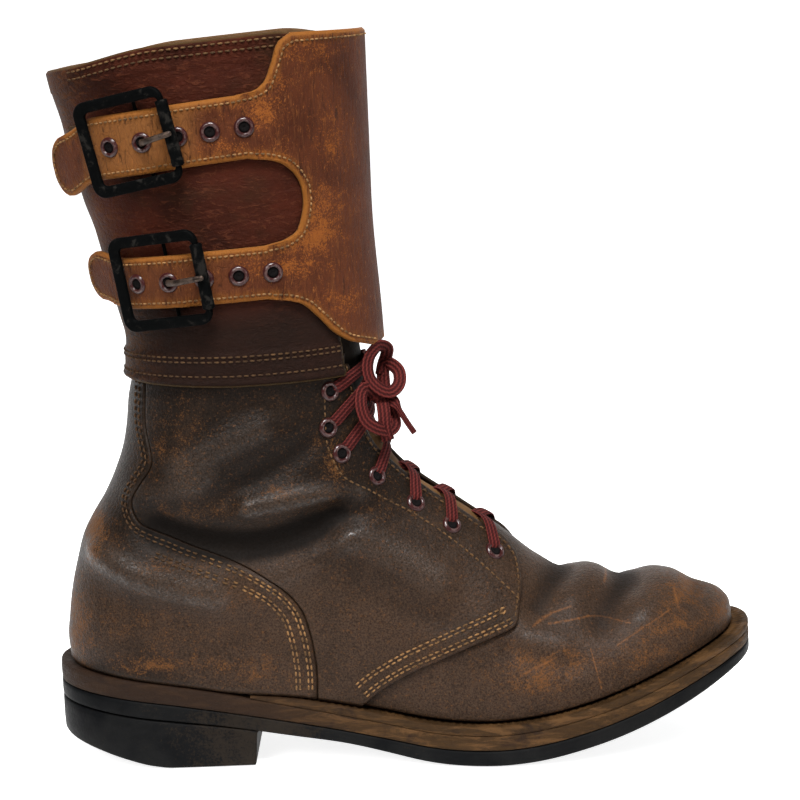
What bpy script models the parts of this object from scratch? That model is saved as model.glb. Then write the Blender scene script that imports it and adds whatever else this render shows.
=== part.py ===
"""Buckle boot, right foot: leather upper on a welted sole, with a two-buckle cuff.

All tables are in millimetres, with x from the back of the heel to the toe, y to the inner side and z up.
"""
import math

import bmesh
import bpy
import numpy as np
from mathutils import Matrix, Vector

OBJECT_NAME = "buckle_boot"
MM = 0.001

# Place of the frame's origin in the tables' millimetres
FRAME_X = 150.0
FRAME_Y = -3.778

# Sole sizes
SOLE_LENGTH = 300.0
HEEL_CAP = 44.0
TOE_CAP = 70.0
CAP_POWER = 2.08
HEEL_BREAST = 84.0
BREAST_RAKE = 3.0
WELT_START = 78.0
WELT_WIDTH = 12.0
EDGE_STEP = 0.5
GAP = 0.3
SEAT_GAP = 0.5
INSOLE_THICK = 2.6

# Upper sizes
FEATHER_TOE = 292.4
FEATHER_HEEL = 3.4
FEATHER_FORE = 6.6
FRONT_CAP = 56.0
CENTRE_TOE = 4.0
CENTRE_FROM = 180.0
CENTRE_TO = 292.0
LEG_BLEND = 95.0
WALL = 2.0
COLLAR_Z = 172.0
THROAT_ROW = 8.2
THROAT_HALF = 27.0
LAYER_GAP = 0.75
QUARTER_THICK = 1.6
COUNTER_THICK = 1.7
TONGUE_DROP = 3.4
TONGUE_THICK = 2.0
TONGUE_HALF = 34.0

# Cuff sizes
CUFF_LOW = 163.5
CUFF_OFF = 3.3
CUFF_THICK = 1.8
CUFF_FRONT_OUTER = 27.0
CUFF_FRONT_INNER = 22.0
RIM_Z = 306.0
RIM_FALL = 0.071
FLAP_OFF = 5.5
FLAP_THICK = 2.0
FLAP_INNER_END = 74.0
STRAP_REACH = 27.0
STRAP_TIP_ROUND = 10.0
STRAP_LIFT = 1.8
STRAP_BEND = 0.004
CHAPE_THICK = 1.4
CHAPE_HALF = 10.5
CHAPE_BACK = 13.0
CHAPE_CLEAR = 2.4

# Buckle sizes
FRAME_TALL = 38.0
FRAME_BAR = 4.6
FRAME_THICK = 2.6
FRAME_CORNER = 5.5
WINDOW_CORNER = 0.8
ROLLER_BAR = 2.0
ROLLER_RADIUS = 2.6
ROLLER_BORE = 1.9
ROLLER_LONG = 27.0
CENTRE_BAR = 0.75
BAR_POST = 1.3
BAR_CLEAR = 0.7
ROLLER_CLEAR = 1.5
PRONG_RADIUS = 1.1
PRONG_CROWN = 9.5

# Eyelet and lace sizes
EYELET_OUTER = 4.2
EYELET_HOLE = 2.3
EYELET_TALL = 0.9
EYELET_SEAT = 0.6
EYELET_PITCH = 12.7
EYELETS_PER_STRAP = 5
ROUND_STEPS = 8
LACE_RADIUS = 1.4
LACE_KNOT_RADIUS = 2.6
LACE_OVER = 6.1

# x, lateral and medial half width of the sole before its ends are rounded
PLAN = (
    (0.0, 37.0, 36.0),
    (40.0, 37.0, 36.0),
    (70.0, 37.5, 35.0),
    (95.0, 37.5, 32.0),
    (118.0, 39.0, 30.0),
    (142.0, 43.0, 33.0),
    (168.0, 49.0, 40.5),
    (192.0, 52.5, 46.5),
    (215.0, 53.5, 49.5),
    (240.0, 53.0, 50.0),
    (300.0, 53.0, 50.0),
)
LATERAL_COLUMN = 1
MEDIAL_COLUMN = 2

# x, underside of the outsole, top of the outsole, midsole thickness, welt thickness
STACK = (
    (0.0, 27.0, 34.2, 8.4, 0.0),
    (20.0, 25.0, 32.4, 8.4, 0.0),
    (40.0, 22.0, 29.7, 8.2, 0.0),
    (60.0, 19.4, 26.5, 8.0, 0.0),
    (78.0, 16.9, 23.3, 7.6, 0.0),
    (97.0, 12.8, 19.5, 6.9, 3.3),
    (125.0, 8.8, 14.4, 6.4, 3.8),
    (150.0, 3.0, 9.8, 6.3, 3.8),
    (168.0, 0.0, 7.0, 6.3, 3.8),
    (192.0, 0.0, 7.0, 6.3, 3.8),
    (215.0, 3.6, 10.8, 6.2, 3.8),
    (235.0, 8.8, 16.0, 6.0, 3.8),
    (255.0, 16.0, 23.4, 5.8, 3.7),
    (275.0, 24.2, 31.2, 5.4, 3.6),
    (290.0, 30.8, 36.6, 5.0, 3.4),
    (300.0, 34.5, 39.4, 4.8, 3.3),
)
LOW_COLUMN = 1
HIGH_COLUMN = 2
MIDSOLE_COLUMN = 3
WELT_COLUMN = 4

# x, underside of the heel: flat at its front, worn and rounded up at its back
HEEL_UNDER = (
    (0.0, 11.5),
    (6.0, 10.2),
    (16.0, 7.8),
    (30.0, 4.0),
    (42.0, 1.0),
    (50.0, 0.0),
    (90.0, 0.0),
)

# height, x of the back line of the leg
BACK = (
    (36.0, 7.6),
    (44.0, 7.4),
    (52.0, 7.0),
    (61.0, 8.1),
    (71.0, 9.7),
    (82.0, 12.1),
    (92.5, 15.4),
    (103.0, 20.4),
    (113.0, 26.6),
    (124.0, 32.1),
    (134.0, 35.8),
    (144.0, 37.9),
    (155.0, 39.2),
    (168.0, 42.0),
    (180.0, 42.4),
    (191.0, 40.3),
    (222.0, 33.8),
    (240.0, 28.6),
    (273.0, 21.0),
    (293.0, 16.2),
    (312.0, 12.0),
)

# height, half width of the leg, length of its rounded back
LEG = (
    (30.0, 34.0, 38.0),
    (70.0, 36.0, 38.0),
    (110.0, 36.5, 40.0),
    (150.0, 37.0, 42.0),
    (200.0, 39.0, 46.0),
    (250.0, 41.5, 50.0),
    (312.0, 43.0, 52.0),
)

# Sections from toe to rim: x and z of the front end, base (x on the sole, or z up the back), front roundness
SECTIONS = (
    (292.4, 46.8, 292.4, 2.2),
    (291.8, 53.0, 289.5, 2.2),
    (288.6, 58.6, 283.0, 2.2),
    (279.5, 63.6, 271.5, 2.2),
    (264.0, 67.6, 255.0, 2.2),
    (246.0, 69.6, 236.0, 2.15),
    (227.0, 72.6, 214.0, 2.1),
    (208.5, 79.0, 188.0, 2.0),
    (191.0, 92.5, 160.0, 1.95),
    (173.0, 105.5, 128.0, 1.9),
    (157.0, 117.0, 96.0, 1.9),
    (147.5, 128.0, 62.0, 1.95),
    (143.0, 139.0, 30.0, 2.0),
    (140.5, 149.0, 42.6, 2.0),
    (139.0, 157.0, 62.0, 2.05),
    (138.2, 164.0, 84.0, 2.1),
    (137.6, 171.0, 107.0, 2.1),
    (137.2, 178.0, 130.0, 2.1),
    (137.0, 186.0, 153.0, 2.1),
    (136.8, 198.0, 176.0, 2.1),
    (136.6, 216.0, 205.0, 2.1),
    (136.8, 250.0, 244.0, 2.1),
    (137.0, 312.0, 302.0, 2.1),
)
HEEL_ROW = 13
LAST_ROW = len(SECTIONS) - 1

# Shared edge of counter and quarter, z and x; the quarter's front edge on the same row, x and z
SEAM = (
    (32.0, 112.5, 131.0, 29.0),
    (43.0, 112.8, 141.0, 37.6),
    (55.0, 111.6, 157.0, 47.4),
    (61.0, 110.2, 167.5, 50.8),
    (67.0, 108.2, 178.0, 53.2),
    (73.5, 103.6, 188.0, 54.6),
    (79.5, 97.0, 196.8, 56.0),
    (87.0, 84.0, 199.0, 64.0),
    (91.5, 73.0, 200.0, 71.0),
    (95.5, 62.5, 199.3, 78.5),
    (99.5, 54.0, 194.6, 86.6),
    (102.5, 47.0, 185.0, 93.6),
    (106.5, 41.2, 174.0, 101.6),
    (112.0, 39.6, 162.0, 110.0),
    (121.0, 44.0, 148.5, 121.5),
    (132.0, 49.4, 139.0, 134.0),
    (148.0, 47.0, 133.5, 150.0),
    (169.0, 48.4, 130.5, 168.0),
)

# x and z of the lace eyelets in the side view, from the top down
LACE_EYELETS = (
    (122.7, 158.0),
    (121.6, 143.0),
    (126.4, 131.4),
    (140.2, 119.4),
    (156.5, 106.2),
    (171.3, 96.0),
    (189.0, 84.0),
)

# Lateral edge of the flap: height at the front line, girth from the front line, fall per girth
FLAP_EDGE = (
    (306.0, 46.0, 0.0),
    (303.4, 50.9, 0.02),
    (296.6, 54.1, 0.055),
    (291.8, 57.0, 0.085),
    (289.6, 62.0, 0.1),
    (289.0, 68.0, 0.1),
    (263.3, 64.0, 0.1),
    (261.6, 57.0, 0.098),
    (258.4, 50.3, 0.095),
    (251.0, 44.6, 0.088),
    (239.7, 42.0, 0.07),
    (229.5, 44.0, 0.055),
    (225.6, 50.0, 0.05),
    (224.4, 57.0, 0.05),
    (201.8, 57.0, 0.04),
    (200.4, 50.0, 0.04),
    (197.8, 43.8, 0.035),
    (191.5, 38.0, 0.025),
    (186.3, 34.0, 0.015),
    (180.5, 26.5, 0.0),
    (177.0, 14.0, 0.0),
)

# Straps: name, top and low height, girth of the first eyelet, roller, prong eyelet and left bar
STRAPS = (
    ("upper", 289.0, 263.3, 65.0, 92.0, 103.1, 126.0),
    ("lower", 224.4, 201.8, 55.0, 80.5, 93.1, 114.0),
)

# Lace bow, smooth paths through x, y, z
LACE_KNOT = (
    (143.4, -13.8, 154.0),
    (145.2, -13.8, 152.7),
    (147.0, -13.8, 151.2),
)
LACE_LOOP_UPPER = (
    (146.4, -11.0, 153.9),
    (147.6, -6.0, 158.0),
    (147.5, -3.0, 163.0),
    (150.0, -5.0, 164.0),
    (153.0, -9.0, 160.5),
    (152.0, -15.0, 155.5),
    (148.5, -18.5, 156.5),
    (144.5, -19.0, 160.0),
    (142.0, -17.5, 167.0),
    (142.5, -13.0, 173.0),
    (145.0, -9.0, 174.5),
    (149.0, -7.0, 172.0),
    (148.0, -7.0, 168.5),
)
LACE_LOOP_LOWER = (
    (143.9, -16.9, 154.3),
    (142.0, -21.5, 156.5),
    (139.6, -25.6, 155.0),
    (138.8, -28.4, 149.5),
    (140.2, -27.6, 143.0),
    (143.5, -21.5, 139.0),
    (149.5, -17.0, 138.5),
    (151.0, -14.0, 143.0),
    (147.7, -12.0, 150.6),
)
LACE_END_LONG = (
    (147.7, -15.4, 150.6),
    (152.0, -17.0, 147.0),
    (154.8, -17.5, 142.5),
    (158.0, -18.0, 137.0),
)
LACE_END_SHORT = (
    (145.2, -16.9, 150.3),
    (145.5, -24.5, 143.5),
    (146.5, -25.0, 138.5),
    (147.5, -23.0, 134.0),
)


def smooth(table, column, x):
    """Monotone cubic curve through the first and the named column of a table."""
    rows = np.asarray([(r[0], r[column]) for r in table], float)
    xs, ys = rows[:, 0], rows[:, 1]
    h = np.diff(xs)
    d = np.diff(ys) / h
    m = np.zeros(len(xs))
    turn = d[:-1] * d[1:] > 0
    wa = 2 * h[1:] + h[:-1]
    wb = h[1:] + 2 * h[:-1]
    da = np.where(turn, d[:-1], 1.0)
    db = np.where(turn, d[1:], 1.0)
    m[1:-1] = np.where(turn, (wa + wb) / (wa / da + wb / db), 0.0)
    m[0] = d[0]
    m[-1] = d[-1]
    x = np.clip(np.asarray(x, float), xs[0], xs[-1])
    i = np.clip(np.searchsorted(xs, x, side="right") - 1, 0, len(xs) - 2)
    s = (x - xs[i]) / h[i]
    near = (1 + 2 * s) * (1 - s) ** 2 * ys[i] + s * (1 - s) ** 2 * h[i] * m[i]
    far = s * s * (3 - 2 * s) * ys[i + 1] + s * s * (s - 1) * h[i] * m[i + 1]
    return near + far


def cap(d, power):
    """Rounded end: 0 at the tip, 1 from one cap length on."""
    d = np.clip(d, 0.0, 1.0)
    return np.clip(1.0 - (1.0 - d) ** power, 0.0, 1.0) ** (1.0 / power)


def ramp(x, a, b):
    s = np.clip((np.asarray(x, float) - a) / (b - a), 0.0, 1.0)
    return s * s * (3 - 2 * s)


def centre(x):
    """Swing of the middle line toward the inner side at the toe."""
    return CENTRE_TOE * ramp(x, CENTRE_FROM, CENTRE_TO)


def column_of(side):
    return LATERAL_COLUMN if side < 0 else MEDIAL_COLUMN


def edge_loop(angle, inset_heel, inset_toe):
    """Points of the sole's outline by angle: 0 at the heel, lateral side first, pi at the toe."""
    angle = np.asarray(angle, float)
    along = 0.5 - 0.5 * np.cos(angle)
    x = inset_heel + (SOLE_LENGTH - inset_toe - inset_heel) * along
    inset = inset_heel + (inset_toe - inset_heel) * along
    ends = cap((x - inset_heel) / HEEL_CAP, CAP_POWER) * cap((SOLE_LENGTH - inset_toe - x) / TOE_CAP, CAP_POWER)
    lateral = smooth(PLAN, LATERAL_COLUMN, x) - inset
    medial = smooth(PLAN, MEDIAL_COLUMN, x) - inset
    y = centre(x) + np.where(np.sin(angle) >= 0, -lateral, medial) * ends
    return x, y


def midsole_top(x):
    return smooth(STACK, HIGH_COLUMN, x) + smooth(STACK, MIDSOLE_COLUMN, x)


def seat(x):
    """Height where the upper meets the welt, or the midsole behind it."""
    return midsole_top(x) + smooth(STACK, WELT_COLUMN, x)


FEATHER_FULL_X = 150.0


def feather_inset(x):
    """Distance of the feather line from the sole's edge: heel value, then rising to the forepart's."""
    return FEATHER_HEEL + (FEATHER_FORE - FEATHER_HEEL) * ramp(x, WELT_START, FEATHER_FULL_X)


def section_ends(t):
    """Front and base ends of the section at row t, and the roundness of its front."""
    t = np.asarray(t, float)
    rows = [(i,) + r for i, r in enumerate(SECTIONS)]
    heel_x = float(smooth(BACK, 1, SECTIONS[HEEL_ROW][2]))
    along = [(i, r[2]) for i, r in enumerate(SECTIONS[:HEEL_ROW])] + [(HEEL_ROW, heel_x)]
    up = [(i + HEEL_ROW, r[2]) for i, r in enumerate(SECTIONS[HEEL_ROW:])]
    sole_x = smooth(along, 1, np.minimum(t, HEEL_ROW))
    back_z = smooth(up, 1, np.maximum(t, HEEL_ROW))
    on_sole = t <= HEEL_ROW
    base_x = np.where(on_sole, sole_x, smooth(BACK, 1, back_z))
    base_z = np.where(on_sole, seat(sole_x) + SEAT_GAP, back_z)
    return smooth(rows, 1, t), smooth(rows, 2, t), base_x, base_z, smooth(rows, 4, t)


def half_width(x, z, reach, length, power, side):
    """Half width of the last at side-view place x, z: plan width below, leg width above, both ends rounded."""
    toe = cap((FEATHER_TOE - x) / TOE_CAP, CAP_POWER)
    foot = (smooth(PLAN, column_of(side), x) - feather_inset(x)) * toe
    g = ramp(z, seat(x), seat(x) + LEG_BLEND)
    w = foot * (1 - g) + smooth(LEG, 1, z) * g
    front = cap(reach / np.minimum(FRONT_CAP, np.maximum(length, 0.001)), power)
    back = cap((x - smooth(BACK, 1, z)) / smooth(LEG, 2, z), CAP_POWER)
    return w * front * back


DENSE = 120


def section(t, side):
    """Dense curve of each section from the front line down to its base, with its girth."""
    t = np.atleast_1d(np.asarray(t, float))
    fx, fz, bx, bz, power = [v[:, None] for v in section_ends(t)]
    q = 0.5 - 0.5 * np.cos(np.linspace(0.0, math.pi, DENSE))[None, :]
    x = fx + (bx - fx) * q
    z = fz + (bz - fz) * q
    length = np.hypot(fx - bx, fz - bz)
    y = centre(x) + side * half_width(x, z, q * length, length, power, side)
    return with_girth(np.stack([x, y, z], axis=-1))


def with_girth(points):
    step = np.linalg.norm(np.diff(points, axis=1), axis=-1)
    run = np.concatenate([np.zeros((len(points), 1)), np.cumsum(step, axis=1)], axis=1)
    return points, run


def pick(points, run, s):
    """Points at girth s on each dense curve."""
    out = np.empty(s.shape + (3,))
    for i in range(len(points)):
        for k in range(3):
            out[i, :, k] = np.interp(s[i], run[i], points[i, :, k])
    return out


def locate(x, z):
    """Section row through a side-view place, with the distance from its front end."""
    lo = np.zeros(x.shape)
    hi = np.full(x.shape, float(LAST_ROW))
    for _ in range(36):
        mid = 0.5 * (lo + hi)
        fx, fz, bx, bz, _power = section_ends(mid)
        ahead = (fx - bx) * (z - bz) - (fz - bz) * (x - bx) < 0
        hi = np.where(ahead, mid, hi)
        lo = np.where(ahead, lo, mid)
    fx, fz, bx, bz, power = section_ends(lo)
    length = np.hypot(fx - bx, fz - bz)
    reach = ((fx - x) * (fx - bx) + (fz - z) * (fz - bz)) / np.maximum(length, 0.001)
    return np.clip(reach, 0.0, length), length, power, lo


def width_at(x, z, side):
    reach, length, power, _row = locate(x, z)
    return half_width(x, z, reach, length, power, side)


SLOPE_STEP = 0.05


def on_side(x, z, side, off):
    """Point of the last at a side-view place, moved out by off along its normal."""
    x = np.asarray(x, float)
    z = np.asarray(z, float)
    h = width_at(x, z, side)
    hx = (width_at(x + SLOPE_STEP, z, side) - width_at(x - SLOPE_STEP, z, side)) / (2 * SLOPE_STEP)
    hz = (width_at(x, z + SLOPE_STEP, side) - width_at(x, z - SLOPE_STEP, side)) / (2 * SLOPE_STEP)
    normal = np.stack([-hx, np.full(hx.shape, float(side)), -hz], axis=-1)
    normal = normal / np.linalg.norm(normal, axis=-1, keepdims=True)
    point = np.stack([x, centre(x) + side * h, z], axis=-1)
    return point + off * normal, normal


def front_line(z):
    """x of the front line of the leg at a height."""
    rows = sorted((r[1], r[0]) for r in SECTIONS)
    return smooth(rows, 1, z)


def ring(v, fall, side):
    """Dense curves round the leg from the front line, at height v less the fall along the girth."""
    v = np.atleast_1d(np.asarray(v, float))[:, None]
    fall = np.broadcast_to(np.asarray(fall, float), (len(v),))[:, None]
    u = 0.5 - 0.5 * np.cos(np.linspace(0.0, math.pi, DENSE))[None, :]
    z = v + 0.0 * u
    for _ in range(2):
        front, back = front_line(z), smooth(BACK, 1, z)
        x = front + (back - front) * u
        y = side * width_at(x, z, side)
        points, run = with_girth(np.stack([x, y, z], axis=-1))
        z = v - fall * run
    return points, run


LEG_STEP = 1.0
LEG_GIRTH_STEP = 0.4
FOOT_STEP = 0.04
FOOT_GIRTH_STEP = 0.3
FIRST_ROW = 0.02
TINY_GIRTH = 0.001
TINY_NORMAL = 1e-9


def normals_of(before, after, along):
    """Outward normals from the run along the girth and the run from row to row."""
    n = np.cross(along, after - before)
    return n / np.maximum(np.linalg.norm(n, axis=-1, keepdims=True), TINY_NORMAL)


def girth_run(points, run, s, step):
    """Run along the girth at s, from a step before to a step after."""
    before = pick(points, run, np.clip(s - step, 0.0, run[:, -1:]))
    return pick(points, run, np.clip(s + step, 0.0, run[:, -1:])) - before


def leg_wrap(v, fall, s, side, off):
    """Points of the leg at height v and girth s (rows by columns), moved out by off."""
    points, run = ring(v, fall, side)
    upper, upper_run = ring(v + LEG_STEP, fall, side)
    lower, lower_run = ring(v - LEG_STEP, fall, side)
    part = np.clip(s / run[:, -1:], 0.0, 1.0)
    here = pick(points, run, s)
    over = pick(upper, upper_run, part * upper_run[:, -1:])
    under = pick(lower, lower_run, part * lower_run[:, -1:])
    n = normals_of(under, over, girth_run(points, run, s, LEG_GIRTH_STEP)) * side
    return here + np.asarray(off)[..., None] * n, n


def foot_wrap(t, s, side, off):
    """Points of the upper at section row t and girth s (rows by columns), moved out by off."""
    points, run = section(t, side)
    later, later_run = section(np.minimum(t + FOOT_STEP, LAST_ROW), side)
    sooner, sooner_run = section(np.maximum(t - FOOT_STEP, FIRST_ROW), side)
    part = np.clip(s / np.maximum(run[:, -1:], TINY_GIRTH), 0.0, 1.0)
    here = pick(points, run, s)
    over = pick(later, later_run, part * later_run[:, -1:])
    under = pick(sooner, sooner_run, part * sooner_run[:, -1:])
    n = normals_of(under, over, girth_run(points, run, s, FOOT_GIRTH_STEP)) * side
    return here + off * n


def to_frame(p):
    return Vector(((p[0] - FRAME_X) * MM, (p[1] - FRAME_Y) * MM, p[2] * MM))


def material(name, colour, roughness, metallic):
    mat = bpy.data.materials.new(name)
    mat.use_nodes = True
    shader = mat.node_tree.nodes["Principled BSDF"]
    shader.inputs["Base Color"].default_value = colour + (1.0,)
    shader.inputs["Roughness"].default_value = roughness
    shader.inputs["Metallic"].default_value = metallic
    return mat


def add_object(name, mesh, collection, look, smooth_shade):
    obj = bpy.data.objects.new(name, mesh)
    collection.objects.link(obj)
    if look:
        mesh.materials.append(material(name + "_look", *look))
    for polygon in mesh.polygons:
        polygon.use_smooth = smooth_shade
    return obj


def mesh_from(name, verts, faces):
    """Mesh in the part's frame from millimetre points, doubles joined, faces made consistent."""
    mesh = bpy.data.meshes.new(name)
    mesh.from_pydata([to_frame(p) for p in verts], [], faces)
    bm = bmesh.new()
    bm.from_mesh(mesh)
    bmesh.ops.remove_doubles(bm, verts=bm.verts, dist=0.00002)
    bmesh.ops.dissolve_degenerate(bm, edges=bm.edges, dist=0.000005)
    bmesh.ops.recalc_face_normals(bm, faces=bm.faces)
    bm.to_mesh(mesh)
    bm.free()
    return mesh


def grid_faces(rows, columns, keep=None, first=0):
    faces = []
    for i in range(rows - 1):
        for j in range(columns - 1):
            if keep is None or keep(i, j):
                a = first + i * columns + j
                faces.append((a, a + 1, a + columns + 1, a + columns))
    return faces


def apply_modifiers(obj):
    depsgraph = bpy.context.evaluated_depsgraph_get()
    mesh = bpy.data.meshes.new_from_object(obj.evaluated_get(depsgraph))
    obj.modifiers.clear()
    obj.data = mesh


def face_out(obj):
    """Turn the faces so that the body's volume is positive."""
    bm = bmesh.new()
    bm.from_mesh(obj.data)
    bmesh.ops.recalc_face_normals(bm, faces=bm.faces)
    if bm.calc_volume(signed=True) < 0:
        bmesh.ops.reverse_faces(bm, faces=bm.faces)
    bm.to_mesh(obj.data)
    bm.free()


def sheet_normal_side(mesh, inside):
    """True when a sheet's faces look away from an inner point."""
    total = 0.0
    for polygon in mesh.polygons:
        total += polygon.normal.dot(polygon.center - inside) * polygon.area
    return total > 0


def thicken(obj, thickness, outward, inside):
    """Give a sheet its wall with Solidify, on the outer or the inner side."""
    if not sheet_normal_side(obj.data, inside):
        obj.data.flip_normals()
    wall = obj.modifiers.new("wall", "SOLIDIFY")
    wall.thickness = thickness * MM
    wall.offset = 1.0 if outward else -1.0
    wall.use_even_offset = True
    wall.use_rim = True
    apply_modifiers(obj)
    face_out(obj)


def cut(obj, cutters, operation):
    for cutter in cutters:
        tool = obj.modifiers.new("cut", "BOOLEAN")
        tool.operation = operation
        tool.solver = "EXACT"
        tool.object = cutter
        apply_modifiers(obj)


LEATHER_BROWN = ((0.052, 0.030, 0.020), 0.62, 0.0)
LEATHER_CUFF = ((0.085, 0.035, 0.022), 0.5, 0.0)
LEATHER_FLAP = ((0.13, 0.055, 0.022), 0.55, 0.0)
LEATHER_TAN = ((0.20, 0.10, 0.045), 0.7, 0.0)
WELT_BROWN = ((0.16, 0.075, 0.03), 0.65, 0.0)
RUBBER_BLACK = ((0.012, 0.013, 0.014), 0.6, 0.0)
IRON_BLACK = ((0.018, 0.019, 0.02), 0.45, 0.7)
STEEL_WORN = ((0.20, 0.16, 0.13), 0.4, 0.9)
EYELET_MAROON = ((0.09, 0.03, 0.03), 0.4, 0.6)
LACE_MAROON = ((0.10, 0.014, 0.018), 0.8, 0.0)

INSIDE_LEG = to_frame((90.0, 0.0, 190.0))
INSIDE_FOOT = to_frame((150.0, 2.0, 45.0))


def slab(name, angles, insets, low, high, look, collection):
    """Sole layer: rungs from lateral to medial edge between two heights, closed at both tips."""
    lx, ly = edge_loop(angles, *insets)
    mx, my = edge_loop(2 * math.pi - angles, *insets)
    rungs = []
    for i in range(len(angles)):
        zl, zh = float(low(lx[i])), float(high(lx[i]))
        rungs.append([(lx[i], ly[i], zl), (lx[i], ly[i], zh), (mx[i], my[i], zh), (mx[i], my[i], zl)])
    return loft(name, rungs, look, collection)


def loft(name, rungs, look, collection):
    """Closed body through rungs of equal point count, ends filled; rungs may shrink to an edge."""
    count = len(rungs[0])
    verts = [p for rung in rungs for p in rung]
    faces = []
    for i in range(len(rungs) - 1):
        for j in range(count):
            k = (j + 1) % count
            faces.append((i * count + j, i * count + k, (i + 1) * count + k, (i + 1) * count + j))
    faces.append(tuple(range(count)))
    last = (len(rungs) - 1) * count
    faces.append(tuple(last + j for j in range(count)))
    mesh = mesh_from(name, verts, faces)
    obj = add_object(name, mesh, collection, look, False)
    face_out(obj)
    return obj


def angle_of(x, inset_heel, inset_toe):
    part = (x - inset_heel) / (SOLE_LENGTH - inset_toe - inset_heel)
    return math.acos(1.0 - 2.0 * min(max(part, 0.0), 1.0))


SOLE_STATIONS = (0.0, 1.2, 4.5, 10.0, 18.0, 28.0, 40.0, 54.0, 70.0, 84.5, 91.0, 105.0, 122.0, 138.0, 154.0, 168.0,
                 180.0, 192.0, 206.0, 220.0, 236.0, 252.0, 266.0, 278.0, 288.0, 295.0, 298.8, 300.0)


RAKE_POWER = 8


def make_sole(parts):
    """Outsole, midsole, heel with its raked breast, welt and insole."""
    outer = np.array([angle_of(x, 0.0, 0.0) for x in SOLE_STATIONS])
    slab("outsole", outer, (0.0, 0.0), lambda x: smooth(STACK, LOW_COLUMN, x),
         lambda x: smooth(STACK, HIGH_COLUMN, x) - GAP, RUBBER_BLACK, parts)
    slab("midsole", outer, (EDGE_STEP, EDGE_STEP), lambda x: smooth(STACK, HIGH_COLUMN, x),
         lambda x: midsole_top(x) - GAP, WELT_BROWN, parts)
    heel_x = [x for x in SOLE_STATIONS if x < HEEL_BREAST] + [HEEL_BREAST]
    angles = np.array([angle_of(x, 0.0, 0.0) for x in heel_x])
    lx, ly = edge_loop(angles, 0.0, 0.0)
    mx, my = edge_loop(2 * math.pi - angles, 0.0, 0.0)
    rungs = []
    for i, x in enumerate(heel_x):
        rake = BREAST_RAKE * (x / HEEL_BREAST) ** RAKE_POWER
        top = float(smooth(STACK, LOW_COLUMN, x + rake)) - GAP
        under = float(smooth(HEEL_UNDER, 1, x))
        rungs.append([(x, ly[i], under), (x + rake, ly[i], top), (x + rake, my[i], top), (x, my[i], under)])
    loft("heel", rungs, RUBBER_BLACK, parts)
    make_welt(parts)
    inside = (WELT_WIDTH + GAP * 2, WELT_WIDTH + GAP * 2)
    lengths = np.linspace(0.0, math.pi, 25)
    slab("insole", lengths, inside, lambda x: midsole_top(x) + GAP,
         lambda x: seat(x) + INSOLE_THICK, LEATHER_TAN, parts)


def make_welt(parts):
    """Strip round the forepart from the heel breast, thin at both ends."""
    start = angle_of(WELT_START + 6.0, EDGE_STEP, EDGE_STEP)
    lateral = [angle_of(x, EDGE_STEP, EDGE_STEP) for x in SOLE_STATIONS if x > WELT_START + 9.0]
    angles = np.array([start] + lateral)
    angles = np.concatenate([angles, 2 * math.pi - angles[-2::-1]])
    ox, oy = edge_loop(angles, EDGE_STEP, EDGE_STEP)
    ix, iy = edge_loop(angles, WELT_WIDTH, WELT_WIDTH)
    rungs = []
    for i in range(len(angles)):
        lo_o, lo_i = float(midsole_top(ox[i])), float(midsole_top(ix[i]))
        hi_o, hi_i = float(seat(ox[i])), float(seat(ix[i]))
        rungs.append([(ox[i], oy[i], lo_o), (ox[i], oy[i], hi_o), (ix[i], iy[i], hi_i), (ix[i], iy[i], lo_i)])
    loft("welt", rungs, WELT_BROWN, parts)


UPPER_ROWS = (0.0, 0.35, 0.8, 1.4, 2.1, 3.0, 4.0, 5.0, 6.0, 6.5, 7.0, 7.4, 7.8, 8.2, 8.8,
              9.4, 10.0, 10.5, 11.0, 11.5, 12.0, 12.4, 12.7, 12.88, 13.0)
RISE_ROWS = 12
SIDE_COLUMNS = 13
SIDE_CROWD = 1.35
THROAT_COLUMNS = 2


def throat_girth(t, full):
    """Girth of the throat edge, drawn in toward the toe where the section is short."""
    return np.minimum(THROAT_HALF, 0.3 * full)


def rows_to_collar(part, side):
    """Section rows over the heel row that end level at the collar, one column for each girth part."""
    lo = np.full(part.shape, float(HEEL_ROW))
    hi = np.full(part.shape, float(LAST_ROW))
    for _ in range(30):
        mid = 0.5 * (lo + hi)
        points, run = section(mid, side)
        z = pick(points, run, (part * run[:, -1])[:, None])[:, 0, 2]
        lo = np.where(z < COLLAR_Z, mid, lo)
        hi = np.where(z < COLLAR_Z, hi, mid)
    return lo


def upper_half(side, off):
    """Grid of one half of the upper, front line first: throat columns, then side columns to the base."""
    grid = []
    base = np.array(UPPER_ROWS)
    full = section(base, side)[1][:, -1]
    edge = throat_girth(base, full)
    across = np.linspace(0.0, 1.0, THROAT_COLUMNS + 1)
    down = 1.0 - (1.0 - np.linspace(0.0, 1.0, SIDE_COLUMNS + 1)[1:]) ** SIDE_CROWD
    s = np.concatenate([edge[:, None] * across, edge[:, None] + (full - edge)[:, None] * down], axis=1)
    grid.append(foot_wrap(base, s, side, off))
    part = s[-1] / full[-1]
    top = rows_to_collar(part, side)
    for w in np.arange(1, RISE_ROWS + 1) / RISE_ROWS:
        t = HEEL_ROW + (top - HEEL_ROW) * w
        run = section(t, side)[1][:, -1]
        grid.append(foot_wrap(t, (part * run)[:, None], side, off)[None, :, 0, :])
    return np.concatenate(grid, axis=0)


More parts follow.
